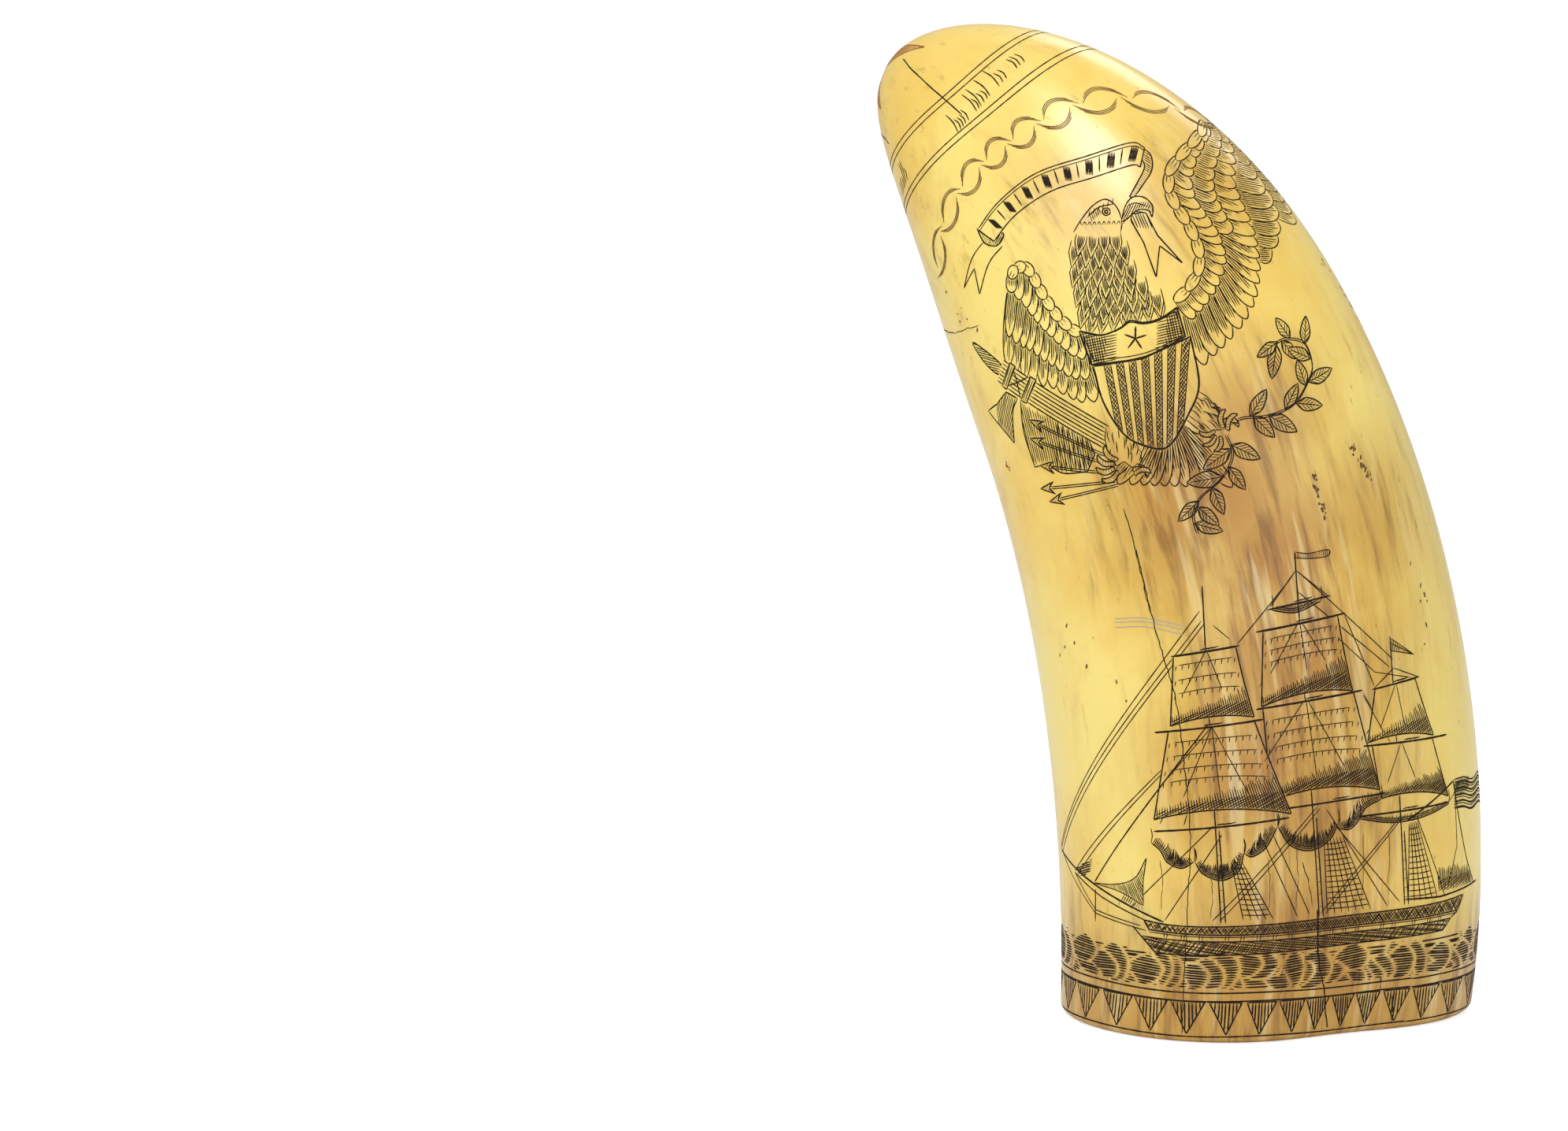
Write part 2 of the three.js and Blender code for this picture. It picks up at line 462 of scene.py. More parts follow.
def line_between(a, b, share):
    """A line a share of the way from one line to another."""
    a, b = curve(a), curve(b)
    spread = np.linspace(0, 1, 9)
    return np.array([between(along_curve(a, t), along_curve(b, t), share) for t in spread])


def resized(outline, share):
    """The same outline drawn larger or smaller about its middle."""
    middle = outline.mean(0)
    return middle + (outline - middle) * share


def runs(shown):
    """The start and the end of each unbroken stretch of True."""
    edges = np.flatnonzero(np.diff(np.concatenate([[False], shown, [False]]).astype(int)))
    return zip(edges[::2], edges[1::2])


class Sheet:
    """Strokes on a flat sheet. What is drawn first lies in front and hides what comes later."""

    def __init__(self, seed):
        self.random = np.random.RandomState(seed)
        self.strokes = []
        self.covers = []

    def hidden(self, points):
        found = np.zeros(len(points), bool)
        low, high = points.min(0), points.max(0)
        for outline, least, most in self.covers:
            if (least < high).all() and (most > low).all():
                found |= inside(points, outline)
        return found

    def keep_runs(self, points, shown, width, ink):
        """Adds each stretch of a line that shows as a stroke of its own."""
        for start, end in runs(shown):
            if end - start >= 2:
                self.strokes.append((points[start:end], width, ink))

    def line(self, points, width=PEN, ink="black", closed=False, within=None):
        points = np.array(points, float)
        if closed:
            points = np.vstack([points, points[:1]])
        points = resample(points, STEP)
        shown = ~self.hidden(points)
        if within is not None:
            shown &= inside(points, np.array(within, float))
        self.keep_runs(points, shown, width, ink)

    def cover(self, outline):
        outline = np.array(outline, float)
        self.covers.append((outline, outline.min(0), outline.max(0)))

    def hatch(self, outline, angle, gap, width=FINE, ink="black", where=None, ragged=0.0):
        """Fills an outline with parallel lines, or only that part of it where a test holds."""
        outline = np.array(outline, float)
        along, across = polar(angle), polar(angle + 90)
        far = outline @ along
        wide = outline @ across
        places = np.arange(wide.min() + gap / 2, wide.max(), gap)
        places = places + self.random.uniform(-0.12, 0.12, len(places)) * gap
        steps = np.arange(far.min(), far.max() + STEP, STEP)
        for at in places:
            tilt = self.random.uniform(-0.012, 0.012)
            points = steps[:, None] * along + (at + tilt * (steps - steps.mean()))[:, None] * across
            shown = inside(points, outline)
            if not shown.any():
                continue
            if where is not None:
                shown &= where(points)
            if ragged:
                run = np.flatnonzero(shown)
                cut = self.random.randint(0, max(1, int(ragged / STEP)), 2)
                shown[run[: cut[0]]] = False
                shown[run[len(run) - cut[1] :]] = False
            if shown.any():
                shown &= ~self.hidden(points)
                self.keep_runs(points, shown, width, ink)

    def shape(self, outline, width=PEN, ink="black", hatches=(), closed=True):
        """An outlined form with its shading, which hides what is drawn later."""
        self.line(outline, width, ink, closed=closed)
        for angle, gap, *rest in hatches:
            self.hatch(outline, angle, gap, *rest[:1], ink=ink, where=rest[1] if len(rest) > 1 else None)
        self.cover(outline)


# ---- Small forms that repeat ----
def leaf(sheet, base, turn, length, width=None):
    """A pointed leaf with a midrib and slanted veins."""
    half = (width or length * 0.4) / 2
    side = [(0, 0), (length * 0.35, half), (length * 0.75, half * 0.7), (length, 0)]
    upper = curve(side)
    lower = upper[::-1] * (1, -1)
    outline = moved(np.vstack([upper, lower[1:-1]]), base, turn)
    sheet.line(moved([(0, 0), (length * 0.92, 0)], base, turn), FINE)
    for way in (1, -1):
        part = moved(np.vstack([upper, [(length, 0), (0, 0)]]) * (1, way), base, turn)
        sheet.hatch(part, turn + way * 38, 0.42, FINE * 0.9)
    sheet.shape(outline)


def rose(sheet, centre, radius, turn=0.0):
    """A flat five-petalled rose with a hatched heart."""
    middle = arc(centre, (radius * 0.2, radius * 0.2), 0, 360, 13)[:-1]
    sheet.shape(middle, FINE, hatches=[(45, 0.25), (135, 0.25)])
    petal = [(0.15, 0.0), (0.45, 0.34), (0.85, 0.5), (1.0, 0.25), (0.92, 0.0)]
    petal = petal + [(x, -y) for x, y in petal[-2:0:-1]]
    for i in range(5):
        outline = moved(curve(petal, closed=True), centre, turn + 72 * i, radius)
        for spread in (-16, -8, 0, 8, 16):
            start = np.array(centre) + polar(turn + 72 * i + spread * 0.8, radius * 0.25)
            end = np.array(centre) + polar(turn + 72 * i + spread, radius * (0.55 + 0.012 * abs(spread)))
            sheet.line([start, end], FINE)
        fold = moved([(0.5, 0.22), (0.78, 0.3), (0.72, 0.1)], centre, turn + 72 * i, radius)
        sheet.line(curve(fold), FINE)
        sheet.shape(outline)


def feather(sheet, base, turn, length, width, dark=0.72, gap=0.36):
    """A feather with a round end, shaded from its root."""
    half = width / 2
    side = [(0, half * 0.8), (length * 0.5, half), (length * 0.85, half * 0.75)]
    tip = curve(side + [(length, 0)] + [(x, -y) for x, y in side[::-1]])
    outline = moved(tip, base, turn)
    count = max(3, int(width / gap))
    for i in range(count):
        y = half * 0.86 * (2 * (i + 0.5) / count - 1)
        reach = length * dark * (1 - 0.28 * abs(y / half)) * sheet.random.uniform(0.86, 1.08)
        sheet.line(moved([(0, y * 0.85), (reach, y)], base, turn), FINE)
    sheet.line(outline, PEN * 0.9)
    sheet.cover(outline)


def marks(sheet, start, turn, length, height, seed, ink="black", slant=18):
    """A row of plain slanted strokes in small groups, in place of writing."""
    dice = np.random.RandomState(seed)
    x = 0.0
    while x < length:
        group = dice.randint(3, 7)
        for _ in range(group):
            tall = height * dice.choice([0.5, 0.55, 0.6, 1.0])
            lean = tall * math.tan(math.radians(slant))
            bend = 0.12 * height
            stroke = curve([(x, 0), (x + lean * 0.5 + bend, tall * 0.5), (x + lean, tall)])
            sheet.line(moved(stroke, start, turn), PEN * 0.95, ink)
            x += height * dice.uniform(0.22, 0.34)
            if x > length:
                break
        x += height * 0.6


# ---- The ship ----
SHADE_GAP = 0.28  # between the upright lines that shade a sail's foot
REEF_GAP = 0.95  # between reef points


def sail(sheet, head, foot, rows, dark, left_dark=0.12):
    """A square sail between its head and foot corners, with rows of reef points and a dark foot."""
    arch = 0.07 * distance(*foot)

    def at(u, v):
        rise = arch * v * 4 * u * (1 - u)
        return between(between(head[0], head[1], u), between(foot[0], foot[1], u), v) + (0, rise)

    spread = np.linspace(0, 1, 13)
    sides = [at(u, 0) for u in spread] + [at(1, v) + (-0.5 * v * (1 - v), 0) for v in spread[1:]]
    outline = np.array(sides + [at(u, 1) for u in spread[-2::-1]] + [at(0, v) for v in spread[-2:0:-1]])
    width = distance(*head)
    for i in range(int(width / SHADE_GAP)):
        u = (i + 0.5) / int(width / SHADE_GAP)
        deep = left_dark + (dark - left_dark) * u**1.6
        deep = deep * sheet.random.uniform(0.85, 1.15)
        sheet.line([at(u, 1 - deep), at(u + 0.012, 0.995)], FINE)
    low = [at(u, 1 - 0.6 * (left_dark + (dark - left_dark) * u**1.6)) for u in spread]
    band = np.array(low + [at(u, 0.99) for u in spread[::-1]])
    sheet.hatch(band, 28, 0.38)
    for v in rows:
        for i in range(int(width / REEF_GAP)):
            u = (i + 0.5) / int(width / REEF_GAP)
            tick = at(u, v)
            sheet.line([tick, tick + (-0.12, -0.85)], FINE)
        sheet.line([at(u, v) for u in spread[1:-1]], FINE * 0.8)
    sheet.shape(outline, PEN)


def yard(sheet, a, b):
    """A tapered spar with the sail's bunting lashed at its middle."""
    sheet.line([a, b], BOLD)
    middle = between(a, b, 0.5)
    along = np.subtract(b, a) / distance(a, b)
    for k in (-1, 0, 1):
        spot = middle + along * k * 0.9 + (0, 0.35)
        sheet.line([spot, spot + along * 1.3 + (0, 0.15)], PEN)


def furled(sheet, lobes, drops):
    """A course gathered up under its yard: bulging lobes, each shaded inside its lower edge."""
    for lobe in lobes:
        lower = resample(curve(lobe), 0.28)
        sheet.line(lower, PEN)
        slope = np.gradient(lower, axis=0)
        inward = np.stack([-slope[:, 1], slope[:, 0]], axis=1)
        inward /= np.hypot(*inward.T)[:, None]
        for i in range(1, len(lower) - 1):
            share = i / (len(lower) - 1)
            tall = drops * sheet.random.uniform(0.7, 1.1) * (0.35 + 0.65 * math.sin(math.pi * share))
            lean = np.array((0.45 * (share - 0.5) * tall, 0))
            middle = lower[i] + inward[i] * tall * 0.55
            tip = lower[i] + inward[i] * tall * 0.6 + (0, tall * 0.4) - lean
            sheet.line(curve([lower[i], middle, tip], parts=4), FINE)
        for step in (0.35, 0.7):
            sheet.line(lower[2:-2] + inward[2:-2] * step, FINE * 0.8)
        for end in (lower[0], lower[-1]):
            sheet.line(curve([end, end + (0.15, 1.2), end + (-0.1, 2.4)], parts=4), FINE)


def shrouds(sheet, feet, tops, ropes, rungs):
    """A ladder of ropes from the rail to the mast."""
    for i in range(ropes):
        share = i / (ropes - 1)
        sheet.line([between(feet[0], feet[1], share), between(tops[0], tops[1], share)], FINE)
    for i in range(1, rungs):
        share = i / rungs
        a, b = between(feet[0], tops[0], share), between(feet[1], tops[1], share)
        sheet.line([a, between(a, b, 0.5) - (0, 0.12), b], FINE)


def mast(sheet, top, foot):
    """A mast with hoops round its foot."""
    sheet.line([top, foot], PEN)
    lower = between(top, foot, 0.72)
    sheet.line([lower + (0.55, 0), np.array(foot) + (0.75, 0)], PEN)
    for share in np.linspace(0.76, 0.97, 7):
        spot = between(top, foot, share)
        sheet.line([spot, spot + (0.65, 0.05)], FINE)


def hull(sheet):
    """The hatched side of the ship, seen from abeam."""
    rail = curve([(-15.5, 19.9), (-8, 19.5), (14, 20.3), (34, 20.9), (43.8, 21.5)])
    wale = curve([(-14.5, 18.4), (-6, 18.2), (14, 18.6), (32, 18.9), (42.2, 19.1)])
    ports = curve([(-15.8, 17.2), (-6, 17.1), (14, 17.5), (32, 17.8), (40.4, 18.0)])
    keel = curve([(-13.2, 14.6), (-4, 14.9), (14, 15.5), (30, 15.9), (38.6, 16.2)])
    bulwark = np.vstack([rail, wale[::-1]])
    bottom = np.vstack([ports, keel[::-1]])
    for x in np.arange(-12, 40, 3.1):
        k = np.argmin(abs(wale[:, 0] - x))
        for step in (0, 0.5):
            sheet.line([wale[k] + (step, -0.1), wale[k] + (step - 0.1, -1.0)], FINE)
    sheet.shape(bulwark, PEN, hatches=[(48, 0.34, FINE), (128, 0.34, FINE)])
    sheet.line(wale - (0, 0.35), FINE)
    sheet.shape(bottom, PEN, hatches=[(52, 0.36, FINE), (-8, 0.4, FINE)])
    sheet.line(curve([(43.8, 21.5), (42.2, 19.1), (40.4, 18.0), (38.6, 16.2)]), PEN)
    sheet.line(curve([(-17.5, 18.7), (-15.9, 17.2), (-13.2, 14.6)]), PEN)
    side = np.vstack([rail, [(42.2, 19.1), (40.4, 18.0), (38.6, 16.2)], keel[::-1]])
    sheet.cover(side)


def bowsprit(sheet):
    """The spar over the bow with its jib-boom, stays and head rails."""
    sheet.line([(-12, 19.9), (-22, 23.2), (-36.8, 28.1)], BOLD)
    sheet.line([(-13, 19.2), (-24, 22.6), (-31, 25.4)], PEN)
    sheet.line([(-16, 18.9), (-25.3, 20.2), (-31, 25.4)], FINE)
    sheet.line([(-15, 18.2), (-25.3, 19.6), (-36, 27.8)], FINE)
    sheet.line([(-25.3, 23.6), (-25.3, 18.2)], PEN)
    sheet.hatch([(-31, 26), (-26, 28.6), (-26.5, 26.2), (-29, 25)], 20, 0.35, PEN)
    sheet.hatch([(-20, 22.6), (-15.5, 21.4), (-16, 23.4), (-19, 24.2)], 60, 0.4)


def jib(sheet):
    """The three-cornered sail over the bowsprit."""
    edge = curve([(-25.6, 24.6), (-21, 25.1), (-17.3, 26.6), (-15.2, 30.2)])
    base = curve([(-15.2, 30.2), (-15.7, 26), (-15.6, 22.3)])
    foot = curve([(-15.6, 22.3), (-20, 24), (-25.6, 24.6)])
    sheet.shape(np.vstack([edge, base, foot]), FINE, hatches=[(118, 0.33, FINE)])
    sheet.line([(-25.6, 24.6), (-5.6, 52.4)], PEN)


def spanker(sheet):
    """The fore-and-aft sail behind the last mast, on its gaff and boom."""
    leech = curve([(40.0, 40.9), (42.0, 34), (44.5, 27.5), (47.4, 23.0)])
    dark = np.vstack([curve([(36.5, 27.3), (41, 27.2), (44.5, 26.6)]), leech[-8:], [(37.2, 22.8)]])
    sheet.hatch(dark, 98, 0.33, where=lambda p: p[:, 1] < 27.2, ragged=1.2)
    sheet.hatch(dark, 25, 0.45, where=lambda p: p[:, 1] < 25.2)
    sheet.line(leech, PEN)
    sheet.line([(29.8, 35.4), (40.2, 41.0)], BOLD)
    sheet.line([(30.2, 22.3), (37.5, 22.0), (48.9, 23.0)], BOLD)
    sheet.line([(40.4, 40.4), (41.4, 30), (39.2, 23)], FINE)


def ensign(sheet):
    """A striped flag streaming from the gaff."""
    x = np.linspace(0, 17.5, 40)
    for i in range(10):
        dip = 0.38 * np.sin(x * 0.75 + 0.05 * i) * np.clip(x / 4, 0.3, 1)
        z = 41.1 - 0.52 * i - 0.075 * x + dip
        sheet.line(np.stack([40.3 + x, z], axis=1), PEN if i in (0, 9) else FINE)
        if i % 2:
            sheet.line(np.stack([40.5 + x[:-2], z[:-2] - 0.2], axis=1), FINE)
    corner = np.array([(40.4, 41), (45.4, 41.1), (45.2, 38.7), (40.8, 38.3)])
    sheet.hatch(corner, 80, 0.32)
    sheet.line([(57.8, 40.2), (58.0, 35.0)], PEN)


FORE = ((-7.1, 74.6), (-2.6, 20.2))
MAIN = ((7.9, 79.8), (14.2, 20.6))
MIZZEN = ((25.3, 65.8), (30.2, 21.4))
YARDS = [
    ((-14.2, 50.8), (3.5, 53.4)), ((-11.8, 63.2), (-0.8, 65.2)), ((-14.0, 34.7), (8.3, 37.4)),
    ((2.2, 55.0), (20.5, 57.4)), ((1.8, 67.3), (16.9, 69.9)), ((7.8, 38.9), (25.6, 40.4)),
    ((3.6, 70.8), (14.2, 72.8)), ((22.3, 57.4), (31.5, 58.8)), ((21.0, 48.3), (38.2, 48.7)),
    ((20.7, 36.8), (39.0, 37.6)),
]
SAILS = [  # head corners, foot corners, rows of reef points, depth of the dark foot at the right
    (((-11.4, 63.2), (-1.4, 65.0)), ((-11.6, 52.0), (1.9, 53.8)), (0.14, 0.36, 0.56), 0.42),
    (((-11.9, 51.2), (2.0, 53.1)), ((-14.0, 36.6), (8.6, 38.0)), (0.14, 0.3, 0.46, 0.6), 0.42),
    (((3.0, 67.4), (15.6, 69.6)), ((3.1, 55.4), (18.7, 57.4)), (0.12, 0.28, 0.44), 0.46),
    (((3.3, 55.1), (18.9, 57.1)), ((5.2, 40.3), (24.4, 41.0)), (0.14, 0.29, 0.44, 0.58), 0.4),
    (((22.8, 57.5), (30.6, 58.6)), ((21.8, 48.8), (34.9, 49.0)), (), 0.6),
    (((22.6, 48.4), (34.6, 48.6)), ((24.7, 39.5), (38.8, 38.6)), (), 0.5),
]
FORE_COURSE = [
    [(-14.4, 32.8), (-12.8, 31.6), (-11.6, 29.8), (-9.2, 29.0), (-7.2, 30.2)],
    [(-7.0, 30.0), (-5.6, 28.2), (-2.6, 27.3), (0.0, 28.8), (0.8, 31.8)],
    [(0.9, 31.7), (2.2, 31.2), (4.4, 32.6), (6.2, 35.8)],
]
MAIN_COURSE = [
    [(6.4, 35.9), (8.6, 32.8), (12.4, 31.8), (15.6, 33.4), (17.0, 36.0)],
    [(17.1, 35.2), (19.0, 34.8), (20.6, 36.0), (22.0, 38.2), (24.7, 39.4)],
]
STAYS = [  # ropes that pass in front of the sails
    ((-4.9, 52.2), (-12.0, 43.4)), ((-4.9, 52.2), (-9.2, 40.6)), ((-4.9, 52.2), (-3.0, 39.4)),
    ((-4.9, 52.2), (1.6, 41.0)), ((10.2, 56.2), (3.8, 46.6)), ((10.6, 56.2), (12.8, 44.2)),
    ((10.9, 56.2), (17.6, 45.4)), ((8.9, 68.8), (4.4, 60.6)), ((9.1, 68.8), (10.6, 61.0)),
    ((9.4, 68.8), (13.8, 62.4)), ((-6.2, 64.4), (-9.6, 57.4)), ((-6.1, 64.4), (-3.4, 58.2)),
    ((26.6, 58.0), (24.0, 51.0)), ((26.8, 58.0), (28.6, 51.4)), ((28.0, 48.4), (25.8, 42.0)),
    ((28.2, 48.4), (31.2, 42.4)), ((-5.2, 68.4), (-2.4, 66.2)), ((20.6, 56.6), (24.8, 50.2)),
    ((15.8, 66.0), (22.6, 60.2), (29.8, 58.8)),
]
RIGGING = [
    ((-7.1, 69), (-36.8, 28.1)), ((-6.6, 68.6), (-36.2, 27.6)), ((-7.4, 70.6), (-36.9, 28.6)),
    ((-5.8, 52.4), (-31.0, 25.6)), ((-5.6, 52.2), (-30.0, 25.2)), ((-4.2, 36.2), (-18.0, 21.5)),
    ((-5.0, 52), (-13.0, 36)), ((-5.0, 52), (-9.0, 36)), ((7.6, 76.0), (-1.2, 65.4)),
    ((8.2, 77.0), (4.0, 71.2)), ((8.2, 77.0), (13.8, 72.8)), ((8.6, 73.6), (25.4, 60.8)),
    ((9.0, 76.4), (26.0, 62.0)), ((25.6, 64.6), (30.4, 62.4)), ((26.2, 60.6), (22.6, 57.6)),
    ((26.2, 60.6), (31.2, 58.8)), ((9.2, 68.6), (3.0, 66.5)), ((9.2, 68.6), (15.2, 62.6)),
    ((9.6, 68.2), (2.5, 58.5)), ((9.9, 67.6), (18.4, 58.5)), ((11.0, 55.9), (3.6, 46.0)),
    ((11.3, 55.9), (18.9, 44.0)), ((12.2, 55.6), (6.2, 41.0)), ((-6.2, 64.6), (-11.0, 57.4)),
    ((-5.8, 64.6), (1.2, 56.4)), ((-5.0, 51.8), (3.8, 40.6)), ((-4.8, 51.8), (-1.6, 39.0)),
    ((26.8, 57.6), (21.4, 50.2)), ((27.0, 57.6), (33.8, 49.4)), ((27.6, 48.2), (24.8, 40.2)),
    ((27.9, 48.2), (33.6, 40.4)), ((28.4, 48.0), (30.6, 40.2)), ((13.0, 38.8), (-4.0, 20.6)),
    ((13.6, 38.6), (-2.8, 20.6)), ((28.8, 36.6), (14.4, 21.2)), ((29.2, 36.4), (15.4, 21.2)),
    ((14.8, 38.4), (27.0, 21.4)), ((16.0, 36.2), (29.2, 22.0)), ((-2.8, 34.8), (-11.8, 20.2)),
    ((31.8, 36.0), (38.8, 21.8)), ((5.6, 34.6), (12.4, 21.2)), ((3.6, 34.4), (10.2, 21.0)),
    ((20.6, 57.0), (26.0, 48.6)), ((16.8, 69.6), (22.6, 58.0)), ((39.0, 37.6), (42.4, 41.0)),
]


def ship(sheet):
    """A three-masted ship under shortened sail, heading left."""
    hull(sheet)
    jib(sheet)
    bowsprit(sheet)
    spanker(sheet)
    ensign(sheet)
    for spar in YARDS:
        yard(sheet, *spar)
    furled(sheet, FORE_COURSE, 2.6)
    furled(sheet, MAIN_COURSE, 2.8)
    furled(sheet, [[(20.9, 36.4), (27, 35.4), (33, 35.8), (38.9, 37.3)]], 1.2)
    furled(sheet, [[(4.4, 70.7), (8.4, 70.3), (12.6, 72.0)]], 1.3)
    shrouds(sheet, [(1.0, 20.8), (6.0, 20.8)], [(-1.2, 30.2), (0.6, 30.2)], 5, 11)
    shrouds(sheet, [(15.7, 21.0), (23.8, 21.2)], [(14.5, 33.6), (17.9, 33.8)], 7, 14)
    shrouds(sheet, [(30.9, 21.8), (37.0, 21.9)], [(30.3, 35.0), (31.9, 35.2)], 6, 14)
    for rope in STAYS:
        sheet.line(rope, FINE * 0.9)
    for head, foot, rows, dark in SAILS:
        sail(sheet, head, foot, rows, dark)
    for top, foot in (FORE, MAIN, MIZZEN):
        mast(sheet, top, foot)
    for rope in RIGGING:
        sheet.line(rope, FINE)
    pennant = curve([(7.9, 79.9), (10.2, 79.6), (13.6, 80.1), (13.5, 79.1), (10.2, 78.8), (7.9, 79.0)])
    sheet.shape(pennant, FINE, hatches=[(95, 0.32)])
    sheet.shape([(25.3, 65.5), (30.2, 62.5), (25.7, 63.4)], FINE, hatches=[(100, 0.35)])


# ---- The eagle ----
def feather_row(sheet, roots, tips, count, width, dark):
    """Overlapping feathers side by side, each from the line of the roots to the line of the tips."""
    roots, tips = curve(roots), curve(tips)
    for i in range(count):
        share = (i + 0.5 + sheet.random.uniform(-0.12, 0.12)) / count
        a, b = along_curve(roots, share), along_curve(tips, share)
        turn = heading(a, b)
        feather(sheet, a, turn, distance(a, b), width * sheet.random.uniform(0.9, 1.1), dark)


def knobs(sheet, lead, count, size):
    """Small rounded feathers that overlap along a wing's leading edge."""
    lead = curve(lead)
    for i in range(count):
        a, b = along_curve(lead, (i - 0.2) / count), along_curve(lead, (i + 1.1) / count)
        turn = heading(a, b)
        length = distance(a, b)
        outline = moved(arc((0.5, 0), (0.5, 0.5 * size / length), 0, 360, 15)[:-1], a, turn, length)
        for y in (-0.5, -0.2, 0.15):
            sheet.line(moved([(0.12, y * size / length * 0.7), (0.5, y * size / length)], a, turn, length),
                       FINE)
        sheet.shape(outline, PEN * 0.9)


def scales(sheet, left, right, rows, size, down=-90):
    """Rows of small pointed feathers between two edges, each row in front of the next."""
    left, right = curve(left), curve(right)
    for row in range(rows):
        share = (row + 0.5) / rows
        a, b = along_curve(left, share), along_curve(right, share)
        count = max(2, int(distance(a, b) / (size * 0.62)))
        for i in range(count + row % 2):
            spot = between(a, b, (i + 0.5 * (1 - row % 2)) / count)
            lean = 26 * ((i + 0.5) / count - 0.5)
            scale = size * sheet.random.uniform(0.9, 1.1)
            outline = [(-0.3, 0.34), (0.4, 0.36), (1.25, 0.0), (0.4, -0.36), (-0.3, -0.34)]
            for y in (-0.21, -0.1, 0.0, 0.1, 0.21):
                reach = 0.98 - 1.6 * abs(y)
                sheet.line(moved([(0.0, y), (reach, y * 0.7)], spot, down + lean, scale), FINE)
            sheet.shape(moved(outline, spot, down + lean, scale), FINE, closed=False)


def eagle_head(sheet):
    """The head in profile: a hooked beak, a ringed eye under a brow, and a smooth crown."""
    beak = curve([
        (0.2, 131.0), (0.8, 133.6), (2.0, 135.0), (3.8, 135.0), (5.2, 133.8), (5.2, 132.0), (4.6, 133.0),
        (2.8, 133.0), (1.2, 131.6),
    ])
    sheet.hatch(beak, 64, 0.34, where=lambda p: p[:, 1] < 134.0 + 0.1 * p[:, 0])
    sheet.line(curve([(0.9, 133.4), (2.4, 134.1), (4.4, 133.6)]), FINE)
    sheet.shape(beak, PEN)
    sheet.line(curve([(0.5, 130.8), (1.6, 132.2), (3.4, 132.6)]), PEN)
    eye = (-2.3, 132.6)
    sheet.line(arc(eye, (0.26, 0.26), 0, 360, 9), BOLD)
    sheet.shape(arc(eye, (0.66, 0.58), 0, 360), PEN)
    sheet.line(curve([(-5.4, 131.6), (-3.6, 133.2), (-1.2, 133.8)]), PEN)
    for i in range(6):
        spot = between((-5.2, 131.8), (-1.4, 133.8), i / 5)
        sheet.line([spot, spot + polar(78, 0.9)], FINE)
        spot = between((-4.6, 131.0), (-3.2, 132.2), i / 5)
        sheet.line([spot, spot + polar(112, 1.0)], FINE)
    for i in range(9):
        spot = between((-6.6, 130.2), (-0.2, 130.6), i / 8)
        sheet.line([spot + (-0.3, 0.1), spot + (0, 0.7), spot + (0.3, 0.1)], FINE)
    skull = curve([
        (-7.6, 129.2), (-6.4, 131.2), (-4.6, 133.4), (-2.6, 134.5), (-0.8, 133.6), (0.3, 131.4),
        (0.2, 129.6),
    ])
    sheet.line(skull, PEN)
    sheet.cover(np.vstack([skull, [(-1.0, 129.0), (-4.0, 128.6)]]))


def shield(sheet):
    """A shield with a hatched chief, a star and stripes."""
    top = curve([
        (-6.1, 113.9), (-2.6, 113.4), (0.4, 114.5), (2.1, 115.8), (4.4, 115.6), (7.0, 116.3),
        (9.7, 118.1),
    ])
    low = curve([(11.2, 113.6), (4.4, 110.2), (-3.9, 108.7)])
    star = np.array([polar(90 + 36 * i, 1.9 if i % 2 == 0 else 0.5) for i in range(10)]) + (3.1, 113.1)
    for i in range(0, 10, 2):
        sheet.line([(3.1, 113.1), star[i]], BOLD)
    sheet.cover(star)
    chief = np.vstack([top, low])
    sheet.hatch(chief, 14, 0.42, where=lambda p: (p[:, 0] < 0.2) | (p[:, 0] > 6.4))
    sheet.hatch(chief, 104, 0.42, where=lambda p: (p[:, 0] < -1.6) | (p[:, 0] > 8.0))
    sheet.line(resized(chief, (0.955, 0.86)), FINE, closed=True)
    sheet.shape(chief, BOLD)
    bottom = curve([
        (-3.6, 108.5), (-1.8, 103.0), (1.6, 98.2), (5.2, 96.4), (9.0, 96.4), (12.0, 101.4), (13.6, 106.2),
        (12.0, 113.6),
    ])
    field = np.vstack([bottom, [(4.4, 110.0)]])
    for i in range(7):
        a, b = -3.4 + i * 2.35, -2.1 + i * 2.35
        stripe = np.array([(a, 115.0), (b, 115.0), (0.62 * b + 3.6, 95.0), (0.62 * a + 3.6, 95.0)])
        shown = lambda p, s=stripe: inside(p, s)
        sheet.hatch(field, 60, 0.36, where=shown)
        sheet.hatch(field, 132, 0.4, where=shown)
        for side in (0, 1):
            edge = [stripe[side], stripe[3 - side]]
            sheet.line(edge, FINE, within=field)
    sheet.shape(field, BOLD)


def foot(sheet, base, turns, size=1.0):
    """Curled toes that grip what they hold."""
    for i, turn in enumerate(turns):
        start = np.array(base) + polar(turn + 90, 0.75 * (i - (len(turns) - 1) / 2))
        toe = moved(curve([
            (0, 0.4), (1.6, 0.85), (3.0, 0.25), (3.3, -0.9), (2.5, -0.4), (1.4, -0.1), (0, -0.35),
        ]), start, turn, size)
        for k in range(5):
            sheet.line(moved([(0.5 + 0.5 * k, 0.5), (0.65 + 0.5 * k, -0.05)], start, turn, size), FINE)
        sheet.shape(toe, PEN)


